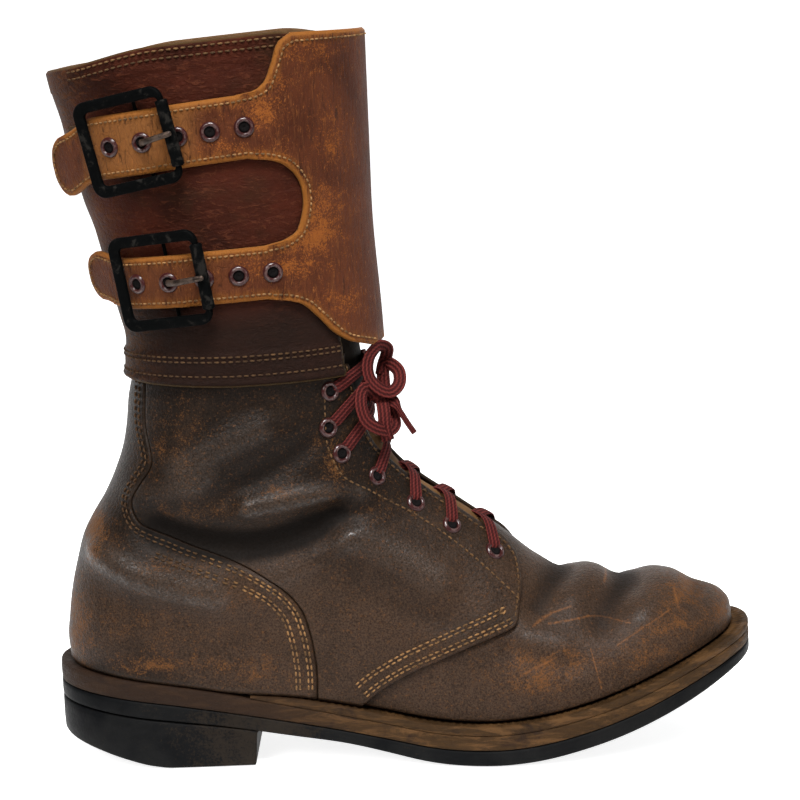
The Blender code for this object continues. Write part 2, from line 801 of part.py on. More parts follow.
def make_upper(parts):
    lateral = upper_half(-1, 0.0)
    medial = upper_half(1, 0.0)
    grid = np.concatenate([lateral[:, ::-1], medial[:, 1:]], axis=1)
    rows, columns = grid.shape[:2]
    throat_from = SIDE_COLUMNS
    throat_to = columns - 1 - SIDE_COLUMNS
    slit_row = UPPER_ROWS.index(THROAT_ROW)
    keep = lambda i, j: i < slit_row or j < throat_from or j >= throat_to
    faces = grid_faces(rows, columns, keep)
    mesh = mesh_from("upper", grid.reshape(-1, 3), faces)
    bm = bmesh.new()
    bm.from_mesh(mesh)
    loose = [v for v in bm.verts if not v.link_faces]
    bmesh.ops.delete(bm, geom=loose, context="VERTS")
    bm.to_mesh(mesh)
    bm.free()
    upper = add_object("upper", mesh, parts, LEATHER_BROWN, True)
    thicken(upper, WALL, False, INSIDE_FOOT)


def make_sheet(name, grid, thickness, outward, inside, look, parts, keep=None):
    rows, columns = grid.shape[:2]
    mesh = mesh_from(name, grid.reshape(-1, 3), grid_faces(rows, columns, keep))
    obj = add_object(name, mesh, parts, look, True)
    thicken(obj, thickness, outward, inside)
    return obj


QUARTER_COLUMNS = 12
QUARTER_CROWD = 1.35
COUNTER_COLUMNS = 11
SEAT_ROWS = 6.0


def stand_on_seat(x, z):
    """Bring the lowest row of an overlay onto the seat and spread the change over the rows above it."""
    share = np.clip(1.0 - np.arange(len(z)) / SEAT_ROWS, 0.0, 1.0)[:, None]
    return z + share * (seat(x) + SEAT_GAP - z[:1])


def make_overlays(parts, tools):
    seam = np.array(SEAM)
    z, x_seam, x_front, z_front = seam.T
    along = 1.0 - (1.0 - np.linspace(0.0, 1.0, QUARTER_COLUMNS + 1)[None, :]) ** QUARTER_CROWD
    x = (x_seam + GAP * 2)[:, None] * (1 - along) + x_front[:, None] * along
    level = stand_on_seat(x, z[:, None] * (1 - along) + z_front[:, None] * along)
    for name, side in (("quarter_lateral", -1), ("quarter_medial", 1)):
        grid, _normal = on_side(x, level, side, LAYER_GAP)
        quarter = make_sheet(name, grid, QUARTER_THICK, True, INSIDE_FOOT, LEATHER_BROWN, parts)
        cut(quarter, lace_holes(side, tools), "DIFFERENCE")
    back = smooth(BACK, 1, z)[:, None]
    spread = (np.linspace(0.0, 1.0, COUNTER_COLUMNS + 1)[None, :]) ** 2
    spread = np.maximum(spread, 0.0004)
    xs = back + (x_seam[:, None] - back) * spread
    zs = stand_on_seat(xs, np.broadcast_to(z[:, None], xs.shape))
    back = smooth(BACK, 1, zs)
    xs = back + (x_seam[:, None] - back) * spread
    lateral, _normal = on_side(xs, zs, -1, LAYER_GAP)
    medial, _normal = on_side(xs, zs, 1, LAYER_GAP)
    grid = np.concatenate([lateral[:, :0:-1], middle(lateral, medial), medial[:, 1:]], axis=1)
    make_sheet("counter", grid, COUNTER_THICK, True, INSIDE_FOOT, LEATHER_BROWN, parts)


def middle(lateral, medial):
    line = 0.5 * (lateral[:, :1] + medial[:, :1])
    line[..., 1] = 0.0
    return line


def lace_place(side, off):
    x, z = np.array(LACE_EYELETS).T
    return on_side(x, z, side, off)


def turned(normal):
    """Rotation that brings z onto a normal."""
    return Vector(normal).to_track_quat("Z", "Y").to_matrix().to_4x4()


def lace_holes(side, tools):
    holes = []
    places, normals = lace_place(side, LAYER_GAP + QUARTER_THICK * 0.5)
    for i in range(len(places)):
        holes.append(peg("lace_hole_%d_%d" % (side, i), places[i], normals[i], EYELET_HOLE, 12.0, tools))
    return holes


def peg(name, place, normal, radius, length, collection):
    bm = bmesh.new()
    bmesh.ops.create_cone(bm, cap_ends=True, segments=ROUND_STEPS, radius1=radius * MM, radius2=radius * MM,
                          depth=length * MM)
    mesh = bpy.data.meshes.new(name)
    bm.to_mesh(mesh)
    bm.free()
    obj = bpy.data.objects.new(name, mesh)
    obj.matrix_world = Matrix.Translation(to_frame(place)) @ turned(normal)
    collection.objects.link(obj)
    obj.hide_render = True
    obj.display_type = "WIRE"
    return obj


def turned_body(name, profile, place, normal, look, collection, steps):
    """Body of revolution with Screw: profile of radius and height, top first, on the outer side."""
    mesh = bpy.data.meshes.new(name)
    verts = [(r * MM, 0.0, h * MM) for r, h in profile]
    edges = [(i, (i + 1) % len(profile)) for i in range(len(profile))]
    mesh.from_pydata(verts, edges, [])
    obj = add_object(name, mesh, collection, look, True)
    screw = obj.modifiers.new("turn", "SCREW")
    screw.axis = "Z"
    screw.steps = steps
    screw.render_steps = steps
    screw.use_merge_vertices = True
    screw.merge_threshold = 0.00001
    apply_modifiers(obj)
    obj.data.transform(Matrix.Translation(to_frame(place)) @ turned(normal))
    face_out(obj)
    for polygon in obj.data.polygons:
        polygon.use_smooth = True
    return obj


def eyelet(name, place, normal, parts):
    profile = ((EYELET_HOLE, EYELET_TALL), (EYELET_OUTER - 0.9, EYELET_TALL), (EYELET_OUTER, 0.0), (EYELET_HOLE, 0.0))
    turned_body(name, profile, place, normal, EYELET_MAROON, parts, ROUND_STEPS)


def make_lace_eyelets(parts):
    for word, side in (("lateral", -1), ("medial", 1)):
        places, normals = lace_place(side, LAYER_GAP + QUARTER_THICK + EYELET_SEAT)
        for i in range(len(places)):
            eyelet("lace_eyelet_%s_%d" % (word, i + 1), places[i], normals[i], parts)


TONGUE_ROWS = (7.2, 7.8, 8.6, 9.5, 10.5, 11.5, 12.5, 13.5, 14.6, 15.8, 17.0, 18.0)
TONGUE_COLUMNS = 4
TONGUE_SHARE = 0.42


def make_tongue(parts):
    """Sheet under the throat, as wide as the tongue or a share of the section where that is less."""
    t = np.array(TONGUE_ROWS)
    across = np.linspace(0.0, 1.0, TONGUE_COLUMNS + 1)[None, :]
    halves = []
    for side in (-1, 1):
        full = section(t, side)[1][:, -1:]
        s = np.minimum(TONGUE_HALF, TONGUE_SHARE * full) * across
        halves.append(foot_wrap(t, s, side, -WALL - TONGUE_DROP + TONGUE_THICK))
    grid = np.concatenate([halves[0][:, :0:-1], middle(halves[0], halves[1]), halves[1][:, 1:]], axis=1)
    make_sheet("tongue", grid, TONGUE_THICK, False, INSIDE_FOOT, LEATHER_TAN, parts)


CUFF_ROWS = 9
CUFF_COLUMNS = 14


def make_cuff(parts):
    """Open ring round the leg from its lateral front edge over the back to its medial front edge."""
    v = np.linspace(CUFF_LOW, RIM_Z, CUFF_ROWS)
    fall = RIM_FALL * (v - CUFF_LOW) / (RIM_Z - CUFF_LOW)
    halves = []
    for side, front in ((-1, CUFF_FRONT_OUTER), (1, CUFF_FRONT_INNER)):
        full = ring(v, fall, side)[1][:, -1:]
        s = front + (full - front) * (1.0 - (1.0 - np.linspace(0.0, 1.0, CUFF_COLUMNS + 1)[None, :]) ** SIDE_CROWD)
        halves.append(leg_wrap(v, fall, s, side, np.full(s.shape, CUFF_OFF))[0])
    back = middle(halves[0][:, ::-1], halves[1][:, ::-1])
    grid = np.concatenate([halves[0][:, :-1], back, halves[1][:, -2::-1]], axis=1)
    make_sheet("cuff", grid, CUFF_THICK, True, INSIDE_LEG, LEATHER_CUFF, parts)


FLAP_COLUMNS = 7
STRAP_ROWS = 4
STRAP_COLUMNS = 14


def strap_heights(top, low):
    return top + (low - top) * np.linspace(0.0, 1.0, STRAP_ROWS + 1)


def flap_rows():
    """Heights of the flap's rows: the edge table's rows, with the straps' inner rows between."""
    rows = set(r[0] for r in FLAP_EDGE)
    for strap in STRAPS:
        rows.update(float(v) for v in strap_heights(strap[1], strap[2]))
    return np.array(sorted(rows, reverse=True))


def fall_at(v):
    return smooth(sorted(FLAP_EDGE), 2, v)


STRAP_RISE = 9.0
HEADING_STEP = 2.0


def strap_off(s, roller):
    """Lift of a strap over the cuff: onto the chape behind the roller."""
    return FLAP_OFF + STRAP_LIFT * ramp(s, roller, roller + STRAP_RISE)


def strap_points(v, s, strap):
    """Points of a strap at heights v and girths s; past the left bar it runs straight on."""
    roller, bar = strap[4], strap[6]
    held = np.minimum(s, bar)
    grid, normal = leg_wrap(v, fall_at(v), held, -1, strap_off(held, roller))
    before, _normal = leg_wrap(v, fall_at(v), held - HEADING_STEP, -1, strap_off(held, roller))
    heading = grid - before
    heading = heading / np.linalg.norm(heading, axis=-1, keepdims=True)
    past = (s - held)[..., None]
    return grid + past * heading - STRAP_BEND * past ** 2 * normal, normal


def make_flap(parts, tools):
    """Front flap from the inner side round to the lateral side, with its two straps, as one sheet."""
    v = flap_rows()
    edge = smooth(sorted(FLAP_EDGE), 1, v)
    fall = fall_at(v)
    across = np.linspace(0.0, 1.0, FLAP_COLUMNS + 1)[None, :]
    medial, _normal = leg_wrap(v, fall, FLAP_INNER_END * across[:, ::-1] + 0.0 * v[:, None], 1,
                               np.full((len(v), FLAP_COLUMNS + 1), FLAP_OFF))
    lateral, _normal = leg_wrap(v, fall, edge[:, None] * across, -1, np.full((len(v), FLAP_COLUMNS + 1), FLAP_OFF))
    line = middle(medial[:, ::-1], lateral)
    grid = np.concatenate([medial[:, :-1], line, lateral[:, 1:]], axis=1)
    rows, columns = grid.shape[:2]
    verts = [tuple(p) for p in grid.reshape(-1, 3)]
    faces = grid_faces(rows, columns)
    for strap in STRAPS:
        heights = strap_heights(strap[1], strap[2])
        root = smooth(sorted(FLAP_EDGE), 1, heights)
        round_in = STRAP_TIP_ROUND * np.abs(np.linspace(-1.0, 1.0, STRAP_ROWS + 1)) ** 3
        tip = strap[6] + STRAP_REACH - round_in
        along = np.linspace(0.0, 1.0, STRAP_COLUMNS + 1)[None, :]
        s = root[:, None] + (tip - root)[:, None] * along
        points, _normal = strap_points(heights, s, strap)
        first = len(verts)
        verts.extend(tuple(p) for p in points.reshape(-1, 3))
        faces.extend(grid_faces(STRAP_ROWS + 1, STRAP_COLUMNS + 1, None, first))
    mesh = mesh_from("cuff_flap", verts, faces)
    flap = add_object("cuff_flap", mesh, parts, LEATHER_FLAP, True)
    thicken(flap, FLAP_THICK, True, INSIDE_LEG)
    holes = []
    for strap in STRAPS:
        places, normals = strap_eyelets(strap, FLAP_THICK * 0.5)
        for i in range(EYELETS_PER_STRAP):
            holes.append(peg("strap_hole_%s_%d" % (strap[0], i), places[i], normals[i], EYELET_HOLE, 7.0, tools))
    cut(flap, holes, "DIFFERENCE")


def strap_eyelets(strap, over):
    """Places of a strap's eyelets on its middle line, a set height over its inner face."""
    s = (strap[3] + EYELET_PITCH * np.arange(EYELETS_PER_STRAP))[None, :]
    v = np.array([0.5 * (strap[1] + strap[2])])
    points, normal = strap_points(v, s, strap)
    return (points + over * normal)[0], normal[0]


def make_strap_eyelets(parts):
    for strap in STRAPS:
        places, normals = strap_eyelets(strap, FLAP_THICK + EYELET_SEAT)
        for i in range(EYELETS_PER_STRAP):
            eyelet("strap_eyelet_%s_%d" % (strap[0], i + 1), places[i], normals[i], parts)


def buckle_axes(strap):
    """Middle of the buckle and its axes: toward the roller, up, and out of the leg."""
    v = np.array([0.5 * (strap[1] + strap[2])])
    ends = []
    for s, lift in ((strap[6], FRAME_THICK * 0.5 + BAR_CLEAR), (strap[4], ROLLER_RADIUS + ROLLER_CLEAR)):
        points, normal = strap_points(v, np.array([[s]]), strap)
        ends.append((points + (FLAP_THICK + GAP * 2 + lift) * normal)[0, 0])
    left, right = Vector(ends[0]), Vector(ends[1])
    along = (right - left).normalized()
    up_points, _normal = strap_points(v + 8.0, np.array([[0.5 * (strap[4] + strap[6])]]), strap)
    low_points, _normal = strap_points(v - 8.0, np.array([[0.5 * (strap[4] + strap[6])]]), strap)
    up = Vector(up_points[0, 0] - low_points[0, 0])
    up = (up - up.dot(along) * along).normalized()
    return left, right, along, up, along.cross(up)


def rounded_box(half_x, half_y, corner, centre_x):
    points = []
    for qx, qy, turn in ((1, 1, 0.0), (-1, 1, 90.0), (-1, -1, 180.0), (1, -1, 270.0)):
        for step in range(4):
            a = math.radians(turn + step * 30.0)
            points.append((centre_x + qx * (half_x - corner) + corner * math.cos(a),
                           qy * (half_y - corner) + corner * math.sin(a)))
    return points


def add_spline(curve, points):
    spline = curve.splines.new("POLY")
    spline.points.add(len(points) - 1)
    for target, (x, y) in zip(spline.points, points):
        target.co = (x * MM, y * MM, 0.0, 1.0)
    spline.use_cyclic_u = True


def make_buckle(strap, parts, tools):
    word = strap[0]
    left, right, along, up, out = buckle_axes(strap)
    reach = (right - left).length
    turn = Matrix((along, up, out)).transposed().to_4x4()
    place = Matrix.Translation(to_frame(left)) @ turn
    curve = bpy.data.curves.new("buckle_frame_" + word, "CURVE")
    curve.dimensions = "2D"
    curve.fill_mode = "BOTH"
    curve.extrude = FRAME_THICK * 0.5 * MM
    long_half = 0.5 * (reach + FRAME_BAR * 0.5 + ROLLER_BAR * 0.5)
    mid = 0.5 * reach - FRAME_BAR * 0.25 + ROLLER_BAR * 0.25
    add_spline(curve, rounded_box(long_half, FRAME_TALL * 0.5, FRAME_CORNER, mid))
    window_half = 0.5 * (reach - FRAME_BAR * 0.5 - ROLLER_BAR * 0.5)
    window_mid = 0.5 * reach + FRAME_BAR * 0.25 - ROLLER_BAR * 0.25
    add_spline(curve, rounded_box(window_half, FRAME_TALL * 0.5 - FRAME_BAR, WINDOW_CORNER, window_mid))
    shape = bpy.data.objects.new("buckle_outline", curve)
    bpy.context.scene.collection.objects.link(shape)
    depsgraph = bpy.context.evaluated_depsgraph_get()
    mesh = bpy.data.meshes.new_from_object(shape.evaluated_get(depsgraph))
    bpy.data.objects.remove(shape, do_unlink=True)
    mesh.transform(place)
    frame = add_object("buckle_frame_" + word, mesh, parts, IRON_BLACK, False)
    clean_mesh(frame)
    v = np.array([0.5 * (strap[1] + strap[2])])
    under, normal = strap_points(v, np.array([[strap[5]]]), strap)
    bar_place = (under - (CENTRE_BAR + GAP) * normal)[0, 0]
    bar_half = 0.5 * (FRAME_TALL - FRAME_BAR)
    joined = [peg("centre_bar_" + word, bar_place, up, CENTRE_BAR, 2 * bar_half, tools)]
    for sign in (-1, 1):
        end = Vector(bar_place) + up * sign * (bar_half - CENTRE_BAR)
        rise = (left - end).dot(out)
        joined.append(peg("bar_post_%s_%d" % (word, sign), end + out * rise * 0.5, out, BAR_POST, abs(rise), tools))
    cut(frame, joined, "UNION")
    face_out(frame)
    profile = ((ROLLER_BORE, ROLLER_LONG * 0.5), (ROLLER_RADIUS, ROLLER_LONG * 0.5),
               (ROLLER_RADIUS, -ROLLER_LONG * 0.5), (ROLLER_BORE, -ROLLER_LONG * 0.5))
    turned_body("buckle_roller_" + word, profile, right, up, IRON_BLACK, parts, ROUND_STEPS)
    rest = right + out * (ROLLER_RADIUS + PRONG_RADIUS + GAP * 1.5)
    hole = Vector((under + (FLAP_THICK * 0.4) * normal)[0, 0])
    crown = Vector((under + PRONG_CROWN * normal)[0, 0])
    path = prong_path(hole, crown, rest, rest + along * 1.5)
    tube("buckle_prong_" + word, path, PRONG_RADIUS, STEEL_WORN, parts)


def prong_path(hole, crown, rest, tip):
    """Smooth run from the strap's hole over its eyelet to the roller."""
    points = []
    for i in range(9):
        a = i / 8.0
        points.append((1 - a) ** 3 * hole + 3 * a * (1 - a) ** 2 * crown + 3 * a * a * (1 - a) * rest + a ** 3 * tip)
    return points


def clean_mesh(obj):
    bm = bmesh.new()
    bm.from_mesh(obj.data)
    bmesh.ops.remove_doubles(bm, verts=bm.verts, dist=0.00002)
    bmesh.ops.recalc_face_normals(bm, faces=bm.faces)
    bm.to_mesh(obj.data)
    bm.free()


def tube(name, path, radius, look, collection, fineness=2):
    """Round cord or wire along a smooth path of millimetre points, ends closed."""
    curve = bpy.data.curves.new(name, "CURVE")
    curve.dimensions = "3D"
    curve.bevel_depth = radius * MM
    curve.bevel_resolution = fineness
    curve.use_fill_caps = True
    spline = curve.splines.new("POLY")
    spline.points.add(len(path) - 1)
    for target, p in zip(spline.points, path):
        target.co = tuple(to_frame(p)) + (1.0,)
    shape = bpy.data.objects.new(name + "_path", curve)
    bpy.context.scene.collection.objects.link(shape)
    depsgraph = bpy.context.evaluated_depsgraph_get()
    mesh = bpy.data.meshes.new_from_object(shape.evaluated_get(depsgraph))
    bpy.data.objects.remove(shape, do_unlink=True)
    obj = add_object(name, mesh, collection, look, True)
    clean_mesh(obj)
    face_out(obj)
    return obj


CHAPE_ROWS = 3
CHAPE_COLUMNS = 6


def make_chapes(parts):
    """Leather tabs on the cuff that hold the buckles, from behind the left bar to the centre bar."""
    for strap in STRAPS:
        mid = 0.5 * (strap[1] + strap[2])
        v = mid + CHAPE_HALF * np.linspace(1.0, -1.0, CHAPE_ROWS + 1)
        back = strap[6] + CHAPE_BACK
        front = strap[5] + CENTRE_BAR + CHAPE_CLEAR
        s = front + (back - front) * np.linspace(0.0, 1.0, CHAPE_COLUMNS + 1)[None, :] + 0.0 * v[:, None]
        off = np.full(s.shape, CUFF_OFF + CUFF_THICK + GAP)
        grid, _normal = leg_wrap(v, fall_at(v), s, -1, off)
        make_sheet("chape_" + strap[0], grid, CHAPE_THICK, True, INSIDE_LEG, LEATHER_CUFF, parts)


LACE_SPAN = 5
LACE_DIP = 0.5
LACE_LIFT = 0.6
LACE_PAST = 1.2
LACE_FINENESS = 1


def girth_at(x, z, side):
    """Section row and girth of a side-view place."""
    reach, _length, _power, row = locate(x, z)
    points, run = section(row, side)
    along = np.hypot(points[..., 0] - points[:, :1, 0], points[..., 2] - points[:, :1, 2])
    girth = np.array([np.interp(reach[i], along[i], run[i]) for i in range(len(row))])
    return row, girth


def lace_run(start, stop, lift):
    """Lace from one eyelet to another across the throat, dipping toward the tongue between the facings."""
    path = []
    for i in range(LACE_SPAN + 1):
        a = i / LACE_SPAN
        row = start[0] + (stop[0] - start[0]) * a
        s = start[1] + (stop[1] - start[1]) * a
        reach = abs(s) / max(abs(start[1]), abs(stop[1]))
        off = LACE_DIP + lift + (LACE_OVER - LACE_DIP) * float(ramp(reach, 0.0, 0.5))
        side = -1 if s < 0 else 1
        path.append(foot_wrap(np.array([row]), np.array([[abs(s)]]), side, off)[0, 0])
    path[0] = path[0] + LACE_PAST * (path[0] - path[1]) / np.linalg.norm(path[0] - path[1])
    path[-1] = path[-1] + LACE_PAST * (path[-1] - path[-2]) / np.linalg.norm(path[-1] - path[-2])
    return path


def make_laces(parts, tools):
    """Crossed laces over the tongue as one body, then the knot, loops and ends of the bow."""
    x, z = np.array(LACE_EYELETS).T
    lateral = [(row, -girth) for row, girth in zip(*girth_at(x, z, -1))]
    medial = list(zip(*girth_at(x, z, 1)))
    runs = [lace_run(lateral[-1], medial[-1], 0.0)]
    for i in range(len(LACE_EYELETS) - 1):
        runs.append(lace_run(lateral[i + 1], medial[i], 0.0))
        runs.append(lace_run(medial[i + 1], lateral[i], LACE_LIFT))
    body = tube("lace_crossings", runs[0], LACE_RADIUS, LACE_MAROON, parts, LACE_FINENESS)
    others = []
    for i, path in enumerate(runs[1:]):
        other = tube("lace_run_%d" % i, path, LACE_RADIUS, None, tools, LACE_FINENESS)
        other.hide_render = True
        other.display_type = "WIRE"
        others.append(other)
    cut(body, others, "UNION")
    face_out(body)
    tube("lace_knot", curve_through(LACE_KNOT, 4), LACE_KNOT_RADIUS, LACE_MAROON, parts)
    tube("lace_loop_upper", curve_through(LACE_LOOP_UPPER, 2), LACE_RADIUS, LACE_MAROON, parts)
    tube("lace_loop_lower", curve_through(LACE_LOOP_LOWER, 2), LACE_RADIUS, LACE_MAROON, parts)
    tube("lace_end_long", curve_through(LACE_END_LONG, 3), LACE_RADIUS, LACE_MAROON, parts)
    tube("lace_end_short", curve_through(LACE_END_SHORT, 3), LACE_RADIUS, LACE_MAROON, parts)


def curve_through(table, steps):
    """Smooth path through a table's points, with a few steps from each to the next."""
    pts = [Vector(p) for p in table]
    pts = [2 * pts[0] - pts[1]] + pts + [2 * pts[-1] - pts[-2]]
    path = []
    for i in range(1, len(pts) - 2):
        for k in range(steps):
            a = k / steps
            p0, p1, p2, p3 = pts[i - 1], pts[i], pts[i + 1], pts[i + 2]
            path.append(0.5 * (2 * p1 + (p2 - p0) * a + (2 * p0 - 5 * p1 + 4 * p2 - p3) * a ** 2
                               + (3 * p1 - p0 - 3 * p2 + p3) * a ** 3))
    path.append(pts[-2])
    return path


def main():
    for obj in list(bpy.data.objects):
        bpy.data.objects.remove(obj, do_unlink=True)
    parts = bpy.data.collections.new(OBJECT_NAME)
    tools = bpy.data.collections.new(OBJECT_NAME + "_cutters")
    bpy.context.scene.collection.children.link(parts)
    bpy.context.scene.collection.children.link(tools)
    make_sole(parts)
    make_upper(parts)
    make_overlays(parts, tools)
    make_lace_eyelets(parts)
    make_tongue(parts)
    make_cuff(parts)
    make_flap(parts, tools)
    make_strap_eyelets(parts)
    for strap in STRAPS:
        make_buckle(strap, parts, tools)
    make_chapes(parts)
    make_laces(parts, tools)


main()
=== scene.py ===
"""Dressing of the buckle boot: leather, thread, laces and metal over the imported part.

Tables are in millimetres, with x from the back of the heel to the toe, y to the inner side and z up.
"""

import math
from collections import namedtuple
from functools import partial

import bpy
import numpy as np
from bpy.props import FloatProperty, FloatVectorProperty, PointerProperty
from mathutils import Matrix, Vector


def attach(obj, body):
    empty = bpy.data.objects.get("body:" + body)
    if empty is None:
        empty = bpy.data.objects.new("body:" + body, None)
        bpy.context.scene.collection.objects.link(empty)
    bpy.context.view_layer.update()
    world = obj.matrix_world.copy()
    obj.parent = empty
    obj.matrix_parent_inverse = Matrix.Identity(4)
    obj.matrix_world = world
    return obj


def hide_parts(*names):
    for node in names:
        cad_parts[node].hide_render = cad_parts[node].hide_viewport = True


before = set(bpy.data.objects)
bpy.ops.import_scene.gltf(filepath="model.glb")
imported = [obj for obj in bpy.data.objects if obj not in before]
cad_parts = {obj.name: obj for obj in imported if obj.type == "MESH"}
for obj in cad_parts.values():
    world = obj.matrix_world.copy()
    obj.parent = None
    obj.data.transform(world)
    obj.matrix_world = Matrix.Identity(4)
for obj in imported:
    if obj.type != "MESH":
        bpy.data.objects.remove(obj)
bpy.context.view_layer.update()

bl_info = {
    "name": "Buckle boot dressing",
    "version": (1, 0, 0),
    "blender": (4, 5, 0),
    "location": "View3D > Sidebar > Boot",
    "description": "Dresses the packed buckle boot with leather, thread, laces and metal",
    "category": "Object",
}

MM = 0.001
TINY = 0.001
NO_LENGTH = 1e-9
FAR = 1e9
FRAME_ORIGIN = np.array((150.0, -3.778, 0.0))

# Sole sizes
SOLE_LENGTH = 300.0
HEEL_CAP = 44.0
TOE_CAP = 70.0
CAP_POWER = 2.08
HEEL_BREAST = 84.0
BREAST_RAKE = 3.0
WELT_START = 78.0
SEAT_GAP = 0.5

# Upper sizes
FEATHER_TOE = 292.4
FEATHER_HEEL = 3.4
FEATHER_FORE = 6.6
FEATHER_FORE_X = 150.0
FRONT_CAP = 56.0
CENTRE_TOE = 4.0
CENTRE_FROM = 180.0
CENTRE_TO = 292.0
LEG_BLEND = 95.0
WALL = 2.0
COLLAR_Z = 172.0
THROAT_ROW = 8.2
THROAT_HALF = 27.0
LAYER_GAP = 0.75
QUARTER_THICK = 1.6
COUNTER_THICK = 1.7
TONGUE_DROP = 3.4
TONGUE_THICK = 2.0
TONGUE_HALF = 34.0

# Cuff, strap and buckle sizes
CUFF_LOW = 163.5
CUFF_OFF = 3.3
CUFF_THICK = 1.8
CUFF_FRONT_OUTER = 27.0
CUFF_FRONT_INNER = 22.0
BAND_TOP = 179.0
RIM_Z = 306.0
RIM_FALL = 0.071
HEM_DEPTH = 3.2
RIM_ARCH = 4.2
ARCH_FRONT = (26.0, 54.0)
ARCH_BACK = (98.0, 138.0)
ARCH_ROWS = 45.0
FLAP_OFF = 5.5
FLAP_LEAN = 2.2
LEAN_ROWS = (178.0, 240.0)
LEAN_SPAN = (12.0, 44.0)
FLAP_THICK = 2.0
FLAP_INNER_END = 74.0
STRAP_REACH = 25.0
STRAP_TIP_ROUND = 12.0
STRAP_LIFT = 1.8
STRAP_RISE = 9.0
STRAP_BEND = 0.004
BUCKLE_SHIFT = 3.0
BUCKLE_RISE = 1.1
BUCKLE_TALL = 39.6
BUCKLE_BAR = 4.6
BUCKLE_THICK = 2.6
BUCKLE_CORNER = 5.5
WINDOW_CORNER = 2.2
ROLLER_BAR = 2.0
ROLLER_RADIUS = 2.6
ROLLER_LONG = 27.0
ROLLER_CLEAR = 1.5
CENTRE_BAR = 0.75
BAR_CLEAR = 0.7
PRONG_RADIUS = 1.15
PRONG_CROWN = 9.5
EYELET_OUTER = 4.2
EYELET_HOLE = 2.3
EYELET_PITCH = 12.7
EYELETS_PER_STRAP = 5

# x, lateral and medial half width of the sole before its ends are rounded
PLAN = ((0.0, 37.0, 36.0), (40.0, 37.0, 36.0), (70.0, 37.5, 35.0), (95.0, 37.5, 32.0), (118.0, 39.0, 30.0),
        (142.0, 43.0, 33.0), (168.0, 49.0, 40.5), (192.0, 52.5, 46.5), (215.0, 53.5, 49.5), (240.0, 53.0, 50.0),
        (300.0, 53.0, 50.0))

# x, underside of the outsole, top of the outsole, midsole thickness, welt thickness
STACK = ((0.0, 27.0, 34.2, 8.4, 0.0), (20.0, 25.0, 32.4, 8.4, 0.0), (40.0, 22.0, 29.7, 8.2, 0.0),
         (60.0, 19.4, 26.5, 8.0, 0.0), (78.0, 16.9, 23.3, 7.6, 0.0), (97.0, 12.8, 19.5, 6.9, 3.3),
         (125.0, 8.8, 14.4, 6.4, 3.8), (150.0, 3.0, 9.8, 6.3, 3.8), (168.0, 0.0, 7.0, 6.3, 3.8),
         (192.0, 0.0, 7.0, 6.3, 3.8), (215.0, 3.6, 10.8, 6.2, 3.8), (235.0, 8.8, 16.0, 6.0, 3.8),
         (255.0, 16.0, 23.4, 5.8, 3.7), (275.0, 24.2, 31.2, 5.4, 3.6), (290.0, 30.8, 36.6, 5.0, 3.4),
         (300.0, 34.5, 39.4, 4.8, 3.3))
LOW_COLUMN = 1
HIGH_COLUMN = 2
MIDSOLE_COLUMN = 3
WELT_COLUMN = 4

# x, underside of the heel
HEEL_UNDER = ((0.0, 11.5), (6.0, 10.2), (16.0, 7.8), (30.0, 4.0), (42.0, 1.0), (50.0, 0.0), (90.0, 0.0))

# height, x of the back line of the leg
BACK = ((36.0, 7.6), (44.0, 7.4), (52.0, 7.0), (61.0, 8.1), (71.0, 9.7), (82.0, 12.1), (92.5, 15.4), (103.0, 20.4),
        (113.0, 26.6), (124.0, 32.1), (134.0, 35.8), (144.0, 37.9), (155.0, 39.2), (168.0, 42.0), (180.0, 42.4),
        (191.0, 40.3), (222.0, 33.8), (240.0, 28.6), (273.0, 21.0), (293.0, 16.2), (312.0, 12.0))

# height, half width of the leg, length of its rounded back
LEG = ((30.0, 34.0, 38.0), (70.0, 36.0, 38.0), (110.0, 36.5, 40.0), (150.0, 37.0, 42.0), (200.0, 39.0, 46.0),
       (250.0, 41.5, 50.0), (312.0, 43.0, 52.0))

# Sections from toe to rim: x and z of the front end, base (x on the sole, or z up the back), front roundness
SECTIONS = ((292.4, 46.8, 292.4, 2.2), (291.8, 53.0, 289.5, 2.2), (288.6, 58.6, 283.0, 2.2), (279.5, 63.6, 271.5, 2.2),
            (264.0, 67.6, 255.0, 2.2), (246.0, 69.6, 236.0, 2.15), (227.0, 72.6, 214.0, 2.1), (208.5, 79.0, 188.0, 2.0),
            (191.0, 92.5, 160.0, 1.95), (173.0, 105.5, 128.0, 1.9), (157.0, 117.0, 96.0, 1.9),
            (147.5, 128.0, 62.0, 1.95), (143.0, 139.0, 30.0, 2.0), (140.5, 149.0, 42.6, 2.0),
            (139.0, 157.0, 62.0, 2.05), (138.2, 164.0, 84.0, 2.1), (137.6, 171.0, 107.0, 2.1),
            (137.2, 178.0, 130.0, 2.1), (137.0, 186.0, 153.0, 2.1), (136.8, 198.0, 176.0, 2.1),
            (136.6, 216.0, 205.0, 2.1), (136.8, 250.0, 244.0, 2.1), (137.0, 312.0, 302.0, 2.1))
HEEL_ROW = 13
LAST_ROW = len(SECTIONS) - 1

